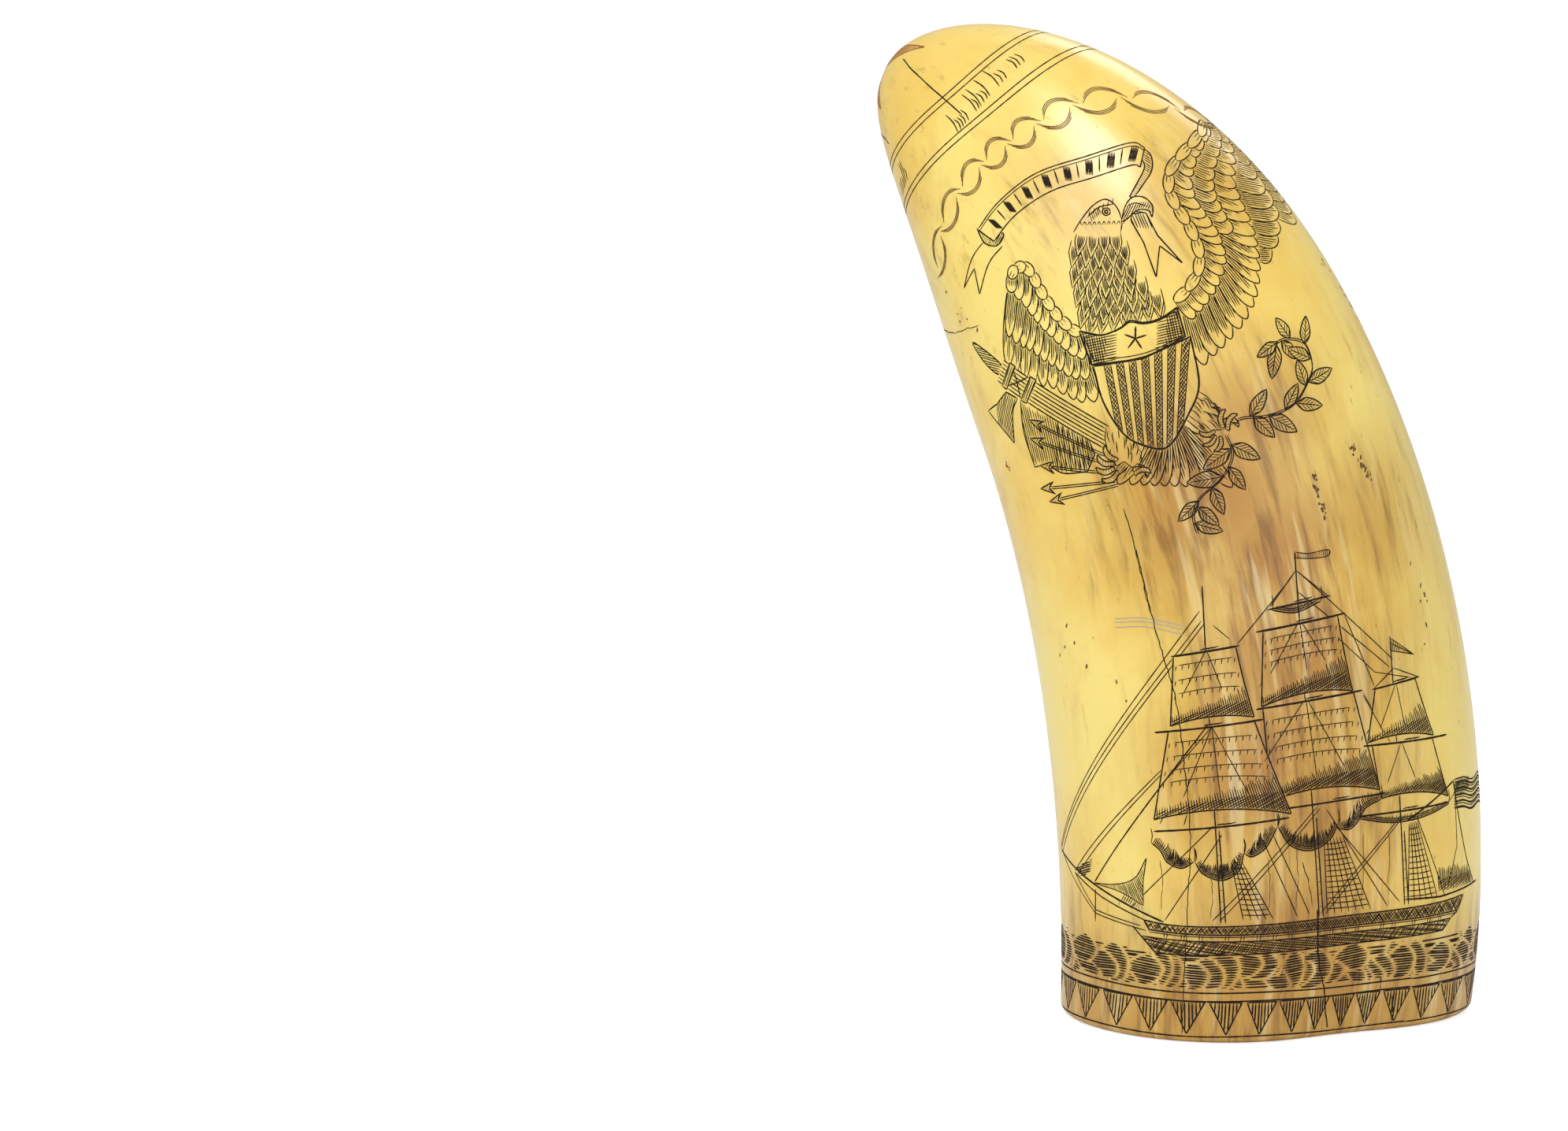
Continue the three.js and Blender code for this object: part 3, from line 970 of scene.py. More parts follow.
def thigh(sheet, root, end, width):
    """A shaggy feathered leg."""
    turn = heading(root, end)
    length = distance(root, end)
    for _ in range(26):
        x, y = sheet.random.uniform(0, 0.75) * length, sheet.random.uniform(-0.5, 0.5) * width
        lock = curve([(x, y), (x + 0.12 * length, y * 1.1 + 0.15), (x + 0.3 * length, y * 0.95)], parts=4)
        sheet.line(moved(lock, root, turn), FINE)
    edge = [
        (0, -0.5), (0.3, -0.56), (0.62, -0.5), (1.0, -0.3), (0.9, -0.1), (1.06, 0.1), (0.95, 0.32),
        (0.6, 0.52), (0.3, 0.56), (0, 0.5),
    ]
    sheet.shape(moved(np.array(edge) * (length, width), root, turn), FINE, closed=False)


def arrow(sheet, nock, point):
    """A double-lined shaft with a barbed head."""
    along = np.subtract(point, nock) / distance(nock, point)
    turn = heading(nock, point)
    head = moved([(0, 0), (-3.0, 1.0), (-1.9, 0.15), (-1.9, -0.15), (-3.0, -1.0)], point, turn)
    sheet.shape(head, PEN, hatches=[(turn + 60, 0.35)])
    side = polar(turn + 90, 0.17)
    sheet.line([nock + side, point - along * 1.8 + side], FINE)
    sheet.line([nock - side, point - along * 1.8 - side], FINE)


def rods_and_axe(sheet):
    """A bound bundle of rods with an axe and a spear point."""
    a, b = np.array((-20.6, 106.6)), np.array((-0.6, 97.2))
    turn = heading(a, b)
    for at in (1.2, 5.6):
        strap = moved([(at, -2.2), (at + 1.1, -2.2), (at + 1.3, 2.2), (at + 0.1, 2.2)], a, turn)
        sheet.shape(strap, PEN, hatches=[(turn + 90, 0.4)])
    sheet.line(moved(curve([(1.8, 2.0), (3.8, 0), (5.4, -2.0)]), a, turn), PEN)
    sheet.line(moved(curve([(1.8, -2.0), (3.8, 0), (5.4, 2.0)]), a, turn), PEN)
    length = distance(a, b)
    for i in range(7):
        y = -1.9 + 3.8 * i / 6
        sheet.line(moved([(0, y), (length, y * 0.9)], a, turn), PEN if i % 2 == 0 else FINE)
    sheet.cover(moved([(0, -1.9), (length, -1.8), (length, 1.8), (0, 1.9)], a, turn))
    spear = moved(curve([(-7.4, 0.7), (-4.0, 1.2), (-0.2, 0.9), (-0.2, -0.9), (-4, -0.7)], closed=True), a,
                  turn)
    sheet.shape(spear, PEN, hatches=[(turn + 20, 0.36)])
    blade = np.vstack([curve([(-17.2, 102.4), (-18.4, 100.0), (-18.6, 95.0)]),
                       curve([(-20.4, 96.4), (-24.8, 99.5)]),
                       curve([(-22.0, 101.0), (-19.6, 103.2)])])
    sheet.hatch(blade, 68, 0.36, where=lambda p: p[:, 0] > -22.4)
    sheet.shape(blade, PEN)


def hung_flag(sheet):
    """A hatched cloth that hangs below the bundle."""
    cloth = np.vstack([curve([(-16.6, 102.2), (-16.2, 97), (-14.2, 91.6)]),
                       curve([(-11.5, 92.4), (-8.6, 91.2), (-4.2, 91.8)]),
                       curve([(-3.0, 94.6), (-4.4, 97.6)])])
    sheet.hatch(cloth, 104, 0.42, ragged=0.8)
    sheet.hatch(cloth, 96, 0.8, where=lambda p: p[:, 0] > -10)
    sheet.line(cloth, PEN)
    sheet.cover(cloth)


def olive_branch(sheet):
    """A forked stem with its leaves."""
    stem = curve([
        (17.6, 99.2), (20.6, 100.9), (25.0, 101.3), (29.2, 103.0), (31.6, 106.2), (32.6, 109.0),
        (31.2, 112.4), (28.0, 113.2), (26.0, 112.6),
    ])
    low = curve([(18.2, 98.4), (19.4, 95.2), (17.8, 91.6), (14.4, 88.4), (13.4, 85.6), (14.2, 82.8)])
    for side in (0.16, -0.16):
        sheet.line(stem + (0, side), FINE)
        sheet.line(low + (side, 0), FINE)
    leaves = [
        (22.0, 101.2, 58, 5.0), (22.5, 101.3, -42, 5.0), (25.0, 101.4, -28, 5.6), (27.8, 102.2, 62, 4.6),
        (29.6, 103.2, -6, 4.8), (31.8, 106.4, 22, 5.0), (31.4, 105.8, 112, 4.4), (32.4, 110.0, 158, 4.6),
        (31.2, 112.2, 84, 4.4), (28.6, 113.2, 128, 4.2), (27.0, 113.0, -46, 4.2), (26.4, 112.8, 214, 4.2),
        (26.2, 112.4, 262, 5.4), (19.0, 96.8, -24, 5.4), (19.2, 96.2, 216, 5.6), (18.8, 93.4, -52, 4.6),
        (18.0, 91.8, 190, 6.0), (16.2, 90.2, -64, 4.8), (14.2, 88.0, 226, 4.6), (14.0, 87.0, -38, 4.6),
        (13.6, 84.4, -14, 4.8),
    ]
    for x, z, turn, length in leaves:
        leaf(sheet, (x, z), turn, length, length * 0.42)


def banner(sheet):
    """A ribbon with forked ends, held in the beak, that carries a row of plain marks."""
    upper = curve([
        (-24.6, 128.6), (-20.6, 133.4), (-14.4, 138.0), (-6.0, 141.0), (1.2, 143.3), (3.6, 142.6),
    ])
    lower = curve([
        (-21.4, 127.0), (-17.6, 131.4), (-11.8, 135.3), (-4.6, 137.8), (1.6, 139.9), (3.0, 139.6),
    ])
    count = 15
    for i in range(count):
        share = 0.08 + 0.86 * i / (count - 1)
        a, b = along_curve(lower, share), along_curve(upper, share)
        low, high = between(a, b, 0.16), between(a, b, 0.84)
        if i % 2 == 0:
            for step in (-0.45, -0.2, 0.05, 0.3, 0.55):
                sheet.line([low + (step, 0), high + (step + 0.3, 0)], PEN)
        else:
            sheet.line([low, high + (0.2, 0)], PEN)
    sheet.line(upper + (0.1, -0.5), FINE)
    sheet.shape(np.vstack([upper, lower[::-1]]), PEN)
    tail = np.vstack([curve([(3.2, 142.7), (4.7, 141.4), (4.9, 139.2), (3.6, 137.0), (2.2, 135.0)]),
                      curve([(1.4, 135.0), (2.6, 137.2), (3.7, 139.6), (3.0, 141.0), (1.6, 141.2)])])
    sheet.shape(tail, PEN, hatches=[(150, 0.32)])
    flow = [
        (2.0, 132.9), (4.2, 132.6), (6.2, 129.2), (10.4, 125.0), (6.6, 127.6), (6.2, 122.7), (4.0, 128.0),
        (1.8, 131.4),
    ]
    sheet.shape(flow, PEN, hatches=[(-64, 0.4, FINE, lambda p: p[:, 1] > 130.2)])
    curl = curve([
        (-24.8, 128.8), (-23.2, 126.6), (-20.8, 126.4), (-19.6, 128.2), (-21.2, 128.4), (-22.4, 127.2),
    ])
    sheet.hatch(np.vstack([curl, [(-22, 129.4)]]), 60, 0.3)
    sheet.shape(curl, PEN, closed=False)
    fork = [
        (-22.6, 127.6), (-25.8, 124.0), (-28.0, 119.0), (-25.4, 122.4), (-24.4, 118.4), (-22.4, 123.4),
        (-19.8, 126.4),
    ]
    sheet.line(curve(fork[:3]), PEN)
    sheet.line(fork[2:5], PEN)
    sheet.line(curve(fork[4:]), PEN)
    sheet.cover(fork)


LEFT_LEAD = [
    (-18.3, 121.4), (-16.8, 124.0), (-14.8, 123.0), (-12.6, 119.4), (-10.6, 117.0), (-8.6, 114.8),
    (-5.8, 113.4),
]
LEFT_TIPS = [  # the tips of its rows of feathers, nearest the leading edge first
    [
        (-18.6, 119.6), (-15.6, 117.4), (-13.2, 114.8), (-11.0, 113.0), (-8.6, 111.2), (-6.4, 109.8),
        (-4.4, 109.4),
    ],
    [
        (-19.2, 112.6), (-16.8, 111.0), (-14.4, 110.2), (-12.0, 108.8), (-9.4, 107.6), (-6.8, 106.4),
        (-4.0, 106.4),
    ],
    [
        (-19.6, 108.0), (-16.8, 106.0), (-13.6, 105.0), (-10.2, 104.6), (-7.6, 103.4), (-4.8, 102.7),
        (-2.4, 103.2),
    ],
]
RIGHT_LEAD = [
    (16.0, 146.0), (12.8, 144.0), (9.4, 141.4), (7.2, 138.0), (8.4, 134.6), (10.8, 131.6), (12.6, 128.4),
    (13.4, 125.4), (12.4, 122.0), (9.2, 119.0),
]
RIGHT_TIPS = [
    [
        (17.5, 145.0), (14.6, 143.2), (12.4, 140.4), (11.6, 137.2), (12.6, 134.2), (14.8, 131.2),
        (16.8, 128.2), (17.5, 125.0), (16.4, 121.6), (14.6, 118.8), (12.0, 115.8),
    ],
    [(20.5, 144.6), (17.6, 142.0), (15.8, 139.0), (15.6, 135.6), (17.2, 132.4), (19.0, 129.4)],
    [
        (24.0, 144.0), (21.4, 141.0), (19.6, 137.6), (20.4, 134.4), (22.0, 131.2), (22.9, 128.4),
        (23.3, 125.4), (23.2, 122.0), (22.2, 118.4), (19.6, 114.4), (13.9, 108.7),
    ],
    [
        (27.8, 143.2), (26.4, 140.0), (27.0, 136.8), (28.6, 133.6), (28.6, 131.0), (27.3, 128.2),
        (25.0, 125.8),
    ],
    [(30.6, 143.6), (33.0, 140.8), (34.2, 137.0), (35.0, 133.6), (34.6, 129.8)],
]


def wings(sheet):
    """Both wings, with the feathers in rows behind the leading edges."""
    first, second, third, fourth, last = RIGHT_TIPS
    knobs(sheet, RIGHT_LEAD, 12, 1.9)
    feather_row(sheet, RIGHT_LEAD, first, 21, 2.1, 0.66)
    feather_row(sheet, first[:6], second, 10, 2.3, 0.8)
    feather_row(sheet, line_between(RIGHT_LEAD, first, 0.7), third, 21, 2.5, 0.84)
    feather_row(sheet, third[:7], fourth, 9, 3.0, 0.9)
    feather_row(sheet, [(17.5, 145.8), (24.5, 133.6)], last, 9, 3.0, 0.94)
    near, middle, far = LEFT_TIPS
    knobs(sheet, LEFT_LEAD, 9, 1.9)
    feather_row(sheet, LEFT_LEAD, near, 11, 2.0, 0.72)
    feather_row(sheet, line_between(LEFT_LEAD, near, 0.6), middle, 11, 2.1, 0.86)
    feather_row(sheet, near, far, 10, 2.3, 0.9)


def eagle(sheet):
    """A displayed eagle with a striped shield, holding arrows and an olive branch."""
    shield(sheet)
    foot(sheet, (0.2, 93.0), (148, 172, 196, 222), 0.9)
    foot(sheet, (3.4, 92.6), (20, -6, -30), 0.8)
    foot(sheet, (17.4, 99.4), (74, 100, 24, -4), 0.85)
    foot(sheet, (16.6, 98.2), (196, 228, 262), 0.75)
    thigh(sheet, (2.0, 99.4), (2.6, 93.2), 6.4)
    thigh(sheet, (11.4, 103.4), (16.8, 99.0), 5.2)
    rods_and_axe(sheet)
    for nock, point in (((0.5, 94), (-15.0, 99.2)), ((0.4, 93), (-15.0, 96.2)), ((0.4, 91.8), (-13.2, 92.0)),
                        ((0.6, 90.6), (-13.2, 88.2)), ((1.0, 90.0), (-11.4, 86.3))):
        arrow(sheet, np.array(nock), np.array(point))
    hung_flag(sheet)
    olive_branch(sheet)
    eagle_head(sheet)
    banner(sheet)
    scales(sheet, [(-7.2, 129.4), (-7.0, 124.8), (-6.1, 120.4), (-4.6, 115.2)],
           [(0.1, 129.6), (1.2, 125.6), (3.8, 121.8), (8.2, 118.6)], 9, 2.7)
    wings(sheet)
    for i in range(11):
        turn = -131 + 8.6 * i
        root = np.array((8.2, 101.5)) + polar(turn, 2.0)
        feather(sheet, root, turn, (root[1] - 90.2) / math.sin(math.radians(-turn)), 2.7, 0.88, 0.4)


def chain_link(sheet, middle, turn, length, height):
    """One long link, each side three hair-thin arcs."""
    for side in (1, -1):
        for i in range(3):
            x = np.linspace(-0.5, 0.5, 15) * length * (1 - 0.13 * i) + side * 0.12 * length
            y = side * (height * 0.5 * (1 - (2 * (x - side * 0.12 * length) / length) ** 2) + 0.28 * i)
            sheet.line(moved(np.stack([x, y], axis=1), middle, turn), FINE, "brown")


# ---- Sea, waves and the whale ----
def leafy_sea(sheet, left, right, low, high):
    """A band of water in slanted leaf-shaped patches of level lines, with bright slits between them."""
    x = left - 2
    while x < right:
        width = sheet.random.uniform(2.8, 5.2)
        for _ in range(2):
            bottom = low + sheet.random.choice([0.0, 0.0, 2.0]) + sheet.random.uniform(-0.2, 0.2)
            top = min(high + 0.2, bottom + sheet.random.uniform(3.6, 6.2))
            lean = sheet.random.choice([-1, 1, 1]) * sheet.random.uniform(0.6, 3.2)
            start = x + sheet.random.uniform(-0.6, 0.6)
            middle = (bottom + top) / 2
            patch = curve([(start, bottom), (start + lean * 0.3 - width * 0.45, middle), (start + lean, top),
                           (start + lean * 0.9 + width * 0.6, middle + 0.4),
                           (start + width * 0.8, bottom + 0.2)], closed=True)
            sheet.hatch(patch, sheet.random.uniform(-7, 7), 0.42, PEN * 1.2)
            sheet.cover(resized(patch, 1.13))
            x += width * 0.5
    block = [(left, low), (right, low), (right, high - 0.4), (left, high - 0.4)]
    sheet.hatch(block, 1.0, 0.43, PEN * 1.15, ragged=3.0)


def swell(sheet, crest, foot, gap=0.46):
    """A fold of water: lines that pass over from its crest to its foot, fewer where they crowd together."""
    crest, foot = resample(curve(crest), 1.0), resample(curve(foot), 1.0)
    spread = np.linspace(0, 1, 40)
    a = np.array([along_curve(crest, t) for t in spread])
    b = np.array([along_curve(foot, t) for t in spread])
    apart = np.hypot(*(a - b).T)
    count = max(2, int((0.5 * apart.max() + 0.5 * apart.mean()) / gap))
    for i in range(count + 1):
        first, last = sheet.random.randint(0, 3, 2) if i else (0, 0)
        every = 4 if i % 4 == 0 else 2 if i % 2 == 0 else 1
        roomy = apart / count * every > 0.3
        roomy[:first] = roomy[40 - last :] = False
        if i == 0:
            roomy[:] = True
        line = a + (b - a) * i / count
        for start, end in runs(roomy):
            if end - start > 1:
                sheet.line(line[start:end], PEN * (0.9 if i else 1.1))
    sheet.cover(np.vstack([a, b[::-1]]))


WATER = [  # crest, then foot, of each fold of the sea about the whale, front ones first
    ([(-26.4, 13.6), (-20, 15.0), (-14.6, 15.6), (-12.6, 13.4)],
     [(-26.6, 8.6), (-20, 8.2), (-15, 8.3), (-11.8, 9.2)]),
    ([(-12.8, 12.4), (-9, 13.6), (-4.6, 12.4), (-1.2, 9.6)],
     [(-12.6, 8.4), (-9, 8.0), (-4, 8.2), (-1.0, 8.4)]),
    ([(-2.6, 11.4), (1.4, 13.4), (5.0, 12.8), (8.0, 10.8)], [(-1.2, 8.3), (2, 8.0), (5.0, 8.1), (8.4, 8.4)]),
    ([(-26.4, 20.0), (-22.0, 20.4), (-17.6, 23.2), (-13.0, 24.6), (-11.0, 22.0)],
     [(-26.6, 13.8), (-22.6, 14.2), (-18.0, 16.2), (-14.8, 16.6), (-12.0, 16.8)]),
    ([(-12.2, 19.4), (-9.4, 21.6), (-6.4, 21.8), (-5.2, 19.0)],
     [(-13.0, 12.8), (-9.6, 14.0), (-6.8, 13.6), (-4.0, 12.6)]),
    ([(-5.0, 19.4), (-0.8, 20.4), (3.4, 19.8), (6.4, 18.2)],
     [(-5.0, 13.0), (-1.0, 14.0), (3.2, 13.8), (7.2, 12.2)]),
    ([(6.0, 20.0), (9.6, 17.2), (14.0, 14.8), (19.6, 13.8)],
     [(8.6, 11.6), (10.4, 9.8), (14.0, 8.8), (20.0, 8.6)]),
    ([(18.6, 13.6), (25.0, 15.4), (31.4, 18.2), (36.4, 18.6), (38.6, 13.2)],
     [(19.4, 10.6), (24.6, 10.8), (30.4, 11.0), (35.0, 11.4), (39.0, 12.8)]),
    ([(19.6, 10.4), (26.0, 10.6), (34.0, 10.6), (44.0, 11.4)],
     [(18.8, 8.3), (26.0, 8.4), (34.0, 8.3), (44.0, 8.4)]),
    ([(36.6, 19.8), (39.4, 21.0), (43.0, 20.4), (48.0, 20.0)],
     [(38.4, 11.4), (41.0, 11.6), (44.0, 11.4), (48.0, 11.6)]),
    ([(-11.4, 22.0), (-8.4, 23.6), (-6.4, 25.6), (-6.6, 22.4)],
     [(-9.4, 21.6), (-8.0, 21.8), (-7.0, 22.0), (-6.4, 22.2)]),
    ([(-7.4, 22.0), (-4.0, 22.6), (-1.8, 25.4), (-0.2, 26.2), (-1.0, 21.4)],
     [(-6.0, 20.4), (-4.0, 20.6), (-2.4, 20.8), (-1.4, 20.8), (-0.8, 20.8)]),
    ([(-0.8, 21.4), (2.2, 22.4), (4.2, 24.8), (4.9, 26.2), (5.0, 22.0)],
     [(-0.6, 19.8), (1.8, 20.0), (3.6, 20.2), (4.8, 20.2), (6.0, 19.8)]),
    ([(5.0, 22.0), (8.0, 22.4), (10.2, 24.8), (11.2, 26.4), (11.4, 22.2)],
     [(6.4, 18.8), (8.4, 18.0), (10.0, 17.4), (11.4, 16.8), (12.4, 16.4)]),
    ([(11.0, 22.6), (13.2, 21.0), (14.8, 22.4), (15.6, 25.8), (17.2, 22.6)],
     [(11.4, 16.6), (13.0, 15.8), (15.0, 15.6), (17.0, 15.4), (19.0, 15.0)]),
    ([(17.0, 23.0), (19.4, 21.8), (21.6, 23.8), (23.2, 25.2), (25.0, 23.6), (28.4, 19.4)],
     [(16.0, 17.4), (19.0, 15.8), (22.4, 15.8), (25.0, 16.6), (27.0, 17.6), (28.8, 18.6)]),
    ([(23.4, 24.8), (26.4, 22.4), (28.2, 25.0), (31.4, 24.0), (34.8, 23.0)],
     [(25.0, 21.8), (27.0, 21.4), (29.4, 19.4), (32.0, 18.8), (35.4, 19.0)]),
    ([(34.6, 22.8), (35.2, 27.0), (38.0, 25.4), (42.0, 24.0), (47.0, 23.8)],
     [(35.6, 19.4), (37.0, 20.0), (40.0, 21.0), (43.0, 20.8), (47.0, 20.2)]),
]
SPRAY = [  # base, turn and size of each burst of drops
    (-9.0, 23.0, 72, 2.4), (-5.6, 25.0, 100, 3.6), (-3.0, 24.4, 66, 3.2), (1.4, 23.4, 62, 2.2),
    (4.8, 25.4, 88, 3.0), (20.4, 24.0, 70, 1.6), (25.4, 24.0, 88, 2.6), (26.8, 24.2, 70, 2.2),
    (31.0, 23.6, 84, 3.6), (32.6, 24.0, 100, 3.2),
]


def spray(sheet, base, turn, size):
    """A burst of drops."""
    for i in range(5):
        tip = np.array(base) + polar(turn + 14 * (i - 2), size * sheet.random.uniform(0.6, 1.0))
        side = polar(turn, size * 0.5) + (sheet.random.uniform(-0.4, 0.4), 0)
        sheet.line(curve([np.array(base) + (0.35 * (i - 2), 0), np.array(base) + side, tip], parts=5), FINE)


def flukes(sheet):
    """The tail of a sounding whale, all cross-hatched."""
    left = [
        (9.5, 22.0), (9.6, 30.0), (4.6, 33.6), (0.0, 37.6), (-3.0, 43.0), (-4.3, 47.4), (-3.2, 49.8),
        (0.0, 49.6), (5.2, 47.2), (10.4, 43.8), (14.6, 40.6),
    ]
    right = [
        (14.6, 40.6), (21.0, 44.4), (28.4, 47.0), (35.4, 47.2), (42.0, 46.4), (36.4, 41.6), (30.0, 37.4),
        (22.6, 33.0), (18.4, 30.0), (19.0, 22.0),
    ]
    stock = [(9.6, 30.0), (7.4, 22.0), (19.4, 21.4), (18.4, 30.0)]
    outline = np.vstack([curve(left[1:]), curve(right[:-1])])
    sheet.hatch(outline, 28, 0.6, PEN * 0.9)
    sheet.hatch(outline, 106, 0.56, PEN * 0.9)
    sheet.line(outline, BOLD)
    sheet.cover(outline)
    sheet.hatch(stock, 40, 0.62, PEN * 0.9)
    sheet.hatch(stock, 110, 0.56, PEN * 0.9)
    sheet.line([stock[0], stock[1]], BOLD)
    sheet.line([stock[3], stock[2]], BOLD)
    sheet.cover(stock)


def little_man(sheet, spot, turn, seed):
    """A stick figure, thrown about."""
    dice = np.random.RandomState(seed)
    bend = dice.uniform(-30, 30, 4)
    body = [(0, 0), (0, 1.7)]
    sheet.line(moved(arc((0, 2.2), (0.38, 0.42), 0, 360, 13), spot, turn), PEN)
    sheet.line(moved(body, spot, turn), BOLD)
    for i, (side, base) in enumerate(((1, 1.5), (-1, 1.5), (1, 0), (-1, 0))):
        way = (20 if base else -58) + bend[i]
        elbow = np.array((0, base)) + polar(way, 0.8) * (side, 1)
        hand = elbow + polar(way + 55 * dice.choice([-1, 1]), 0.8) * (side, 1)
        sheet.line(moved([(0, base), elbow, hand], spot, turn), PEN)


def stove_boat(sheet):
    """A whaleboat thrown bottom up over the flukes, with its men and oars in the air."""
    for spot, turn, seed in (((7.0, 50.6), -30, 1), ((11.9, 44.8), 12, 2), ((17.4, 45.4), -14, 3),
                             ((22.4, 53.2), -50, 4), ((28.2, 51.8), 96, 5)):
        little_man(sheet, spot, turn, seed)
    sheet.line([(14.0, 53.4), (20.4, 58.2)], BOLD)
    sheet.line([(19.6, 55.8), (18.8, 50.6)], BOLD)
    sheet.line([(13.2, 42.2), (15.1, 48.2)], PEN)
    sheet.line([(18.4, 42.4), (19.8, 47.4)], PEN)
    keel = curve([(3.8, 48.4), (9.0, 51.2), (15.0, 52.2), (20.6, 52.4), (27.0, 51.6), (33.6, 48.9)])
    gunwale = curve([(4.4, 47.6), (9.6, 48.7), (15.0, 49.4), (20.6, 49.7), (27.0, 49.5), (33.4, 48.2)])
    for share in (0.0, 0.24, 0.46, 0.66, 0.84, 1.0):
        line = keel * (1 - share) + gunwale * share
        sheet.line(line, PEN if share in (0.0, 1.0) else FINE)
    for i in range(30):
        a = along_curve(gunwale, (i + 0.3) / 30)
        sheet.line([a, a + (0.35, 0.5)], FINE)
    sheet.line(gunwale - (0, 0.3), FINE)


def whale(sheet):
    for crest, foot in WATER:
        swell(sheet, crest, foot)
    for x, z, turn, size in SPRAY:
        spray(sheet, (x, z), turn, size)
    flukes(sheet)
    stove_boat(sheet)


# ---- Hearts, wreath and their neighbours ----
def heart(sheet, points, turn, gaps, bands=()):
    """A heart filled with two crossing hatches, and with bolder bands across them."""
    outline = curve(points, closed=True)
    sheet.hatch(outline, turn, gaps[0], FINE)
    sheet.hatch(outline, turn + 90, gaps[1], FINE)
    for angle, shift in bands:
        along, middle = polar(angle), outline.mean(0) + polar(angle + 90) * shift
        sheet.line([middle - along * 20, middle + along * 20], BOLD, within=outline)
    sheet.line(outline, PEN, closed=True)
    sheet.line(resized(outline, 0.972), FINE, closed=True)
    sheet.cover(outline)


HEART_TURN = -17
NEAR_HEART = [
    (21.8, 109.4), (21.6, 112.2), (19.4, 114.8), (15.6, 115.2), (12.0, 113.2), (9.9, 108.6),
    (10.0, 102.4), (11.6, 96.6), (13.8, 92.6), (20.6, 95.2), (27.6, 99.0), (31.2, 103.6), (31.6, 108.2),
    (29.0, 111.4), (25.6, 111.8),
]
FAR_HEART = [
    (29.4, 104.0), (31.6, 107.2), (35.6, 108.4), (39.0, 106.4), (39.8, 102.2), (37.6, 97.6), (33.4, 94.2),
    (27.4, 91.6), (20.6, 89.6), (18.4, 93.6), (24.0, 98.0),
]


def hearts(sheet):
    """Two hearts in plaid hatching, one behind the other."""
    upright = [(HEART_TURN + 90, shift) for shift in (-7, -2.6, 2.0, 6.2)]
    level = [(HEART_TURN, shift) for shift in (-6.4, -2, 2.6, 7)]
    heart(sheet, NEAR_HEART, HEART_TURN, (0.46, 0.5), upright + level)
    heart(sheet, FAR_HEART, HEART_TURN, (0.95, 0.45))


def wreath(sheet):
    """A flowering branch that arches over the hearts."""
    stem = curve([
        (5.6, 95.2), (2.6, 99.4), (0.2, 103.6), (-0.2, 109.0), (1.6, 113.6), (4.6, 117.8), (8.0, 121.6),
        (13.4, 124.2), (20.0, 124.8), (27.0, 124.8), (31.6, 122.6), (34.4, 119.4), (38.0, 116.4),
        (42.6, 115.8), (46.4, 117.4),
    ])
    leaves = [
        (3.4, 98.6, -38, 6.2), (1.2, 101.8, 6, 5.6), (-0.2, 105.0, 258, 6.0), (0.0, 110.8, 206, 5.8),
        (2.2, 115.4, -62, 5.2), (5.0, 118.8, 184, 5.2), (7.4, 121.2, -92, 5.0), (13.0, 124.2, 152, 5.2),
        (17.8, 123.8, 214, 4.8), (24.2, 124.8, 242, 4.6), (27.8, 124.4, 126, 5.4),
        (32.8, 125.0, 104, 5.2), (32.4, 122.8, 58, 5.0), (33.4, 120.2, 196, 4.8), (37.0, 116.4, 204, 4.6),
        (42.2, 115.4, 206, 4.4), (43.4, 116.2, 118, 4.0), (46.0, 117.2, 60, 4.2),
    ]
    rose(sheet, (-6.5, 114.6), 3.2, 20)
    rose(sheet, (15.8, 129.8), 3.5, 50)
    rose(sheet, (36.8, 121.6), 2.8, 80)
    for x, z, turn, length in leaves:
        leaf(sheet, (x, z), turn, length, length * 0.44)
    for turn in (-60, -20, 22, 60):
        leaf(sheet, (34.2, 128.2), turn + 20, 2.9, 1.7)
    leaf(sheet, (1.2, 106.3), 0, 3.6, 1.5)
    sheet.line(curve([(-0.3, 106.9), (0.6, 106.4), (1.4, 106.3)]), FINE)
    sheet.line(curve([(-3.6, 113.6), (-1.2, 113.2), (1.4, 113.8)]), FINE)
    sheet.line(curve([(17.6, 124.8), (16.4, 126.0), (16.2, 127.2)]), FINE)
    sheet.line(curve([(32.4, 122.6), (32.8, 125.6), (34.2, 128.0)]), FINE)
    sheet.line(stem, PEN * 0.9)


def sprig(sheet):
    """Two leaves on a stem, beside the hearts."""
    leaf(sheet, (31.4, 90.6), 6, 7.4, 3.0)
    leaf(sheet, (38.6, 90.2), -8, 7.0, 2.8)
    sheet.line(curve([(29.6, 91.2), (36.0, 88.4), (44.0, 88.8)]), FINE)


def scroll(sheet):
    """A pen flourish."""
    sheet.line(curve([
        (-16.8, 93.2), (-17.4, 94.6), (-16.0, 95.4), (-13.8, 94.2), (-14.4, 91.4), (-17.4, 89.4),
        (-19.8, 86.8), (-18.4, 84.8), (-15.0, 84.2), (-10.9, 85.4),
    ]), PEN)
    sheet.line(curve([(-14.4, 91.2), (-15.8, 89.8), (-17.8, 89.4)]), FINE)
    sheet.line(curve([(-17.8, 87.2), (-17.0, 86.6), (-16.4, 87.6), (-15.8, 89.6)]), PEN)
    tail = np.vstack([curve([(-18.0, 84.6), (-14.6, 84.4), (-10.9, 85.4)]),
                      curve([(-10.6, 82.9), (-9.4, 81.6), (-14.0, 83.6)])])
    sheet.hatch(tail, 96, 0.36)
    sheet.line(curve([(-10.9, 85.4), (-10.9, 83.2), (-9.4, 81.5)]), PEN)
    sheet.line(curve([(-18.4, 84.8), (-14.0, 83.7), (-9.4, 81.5)]), PEN)


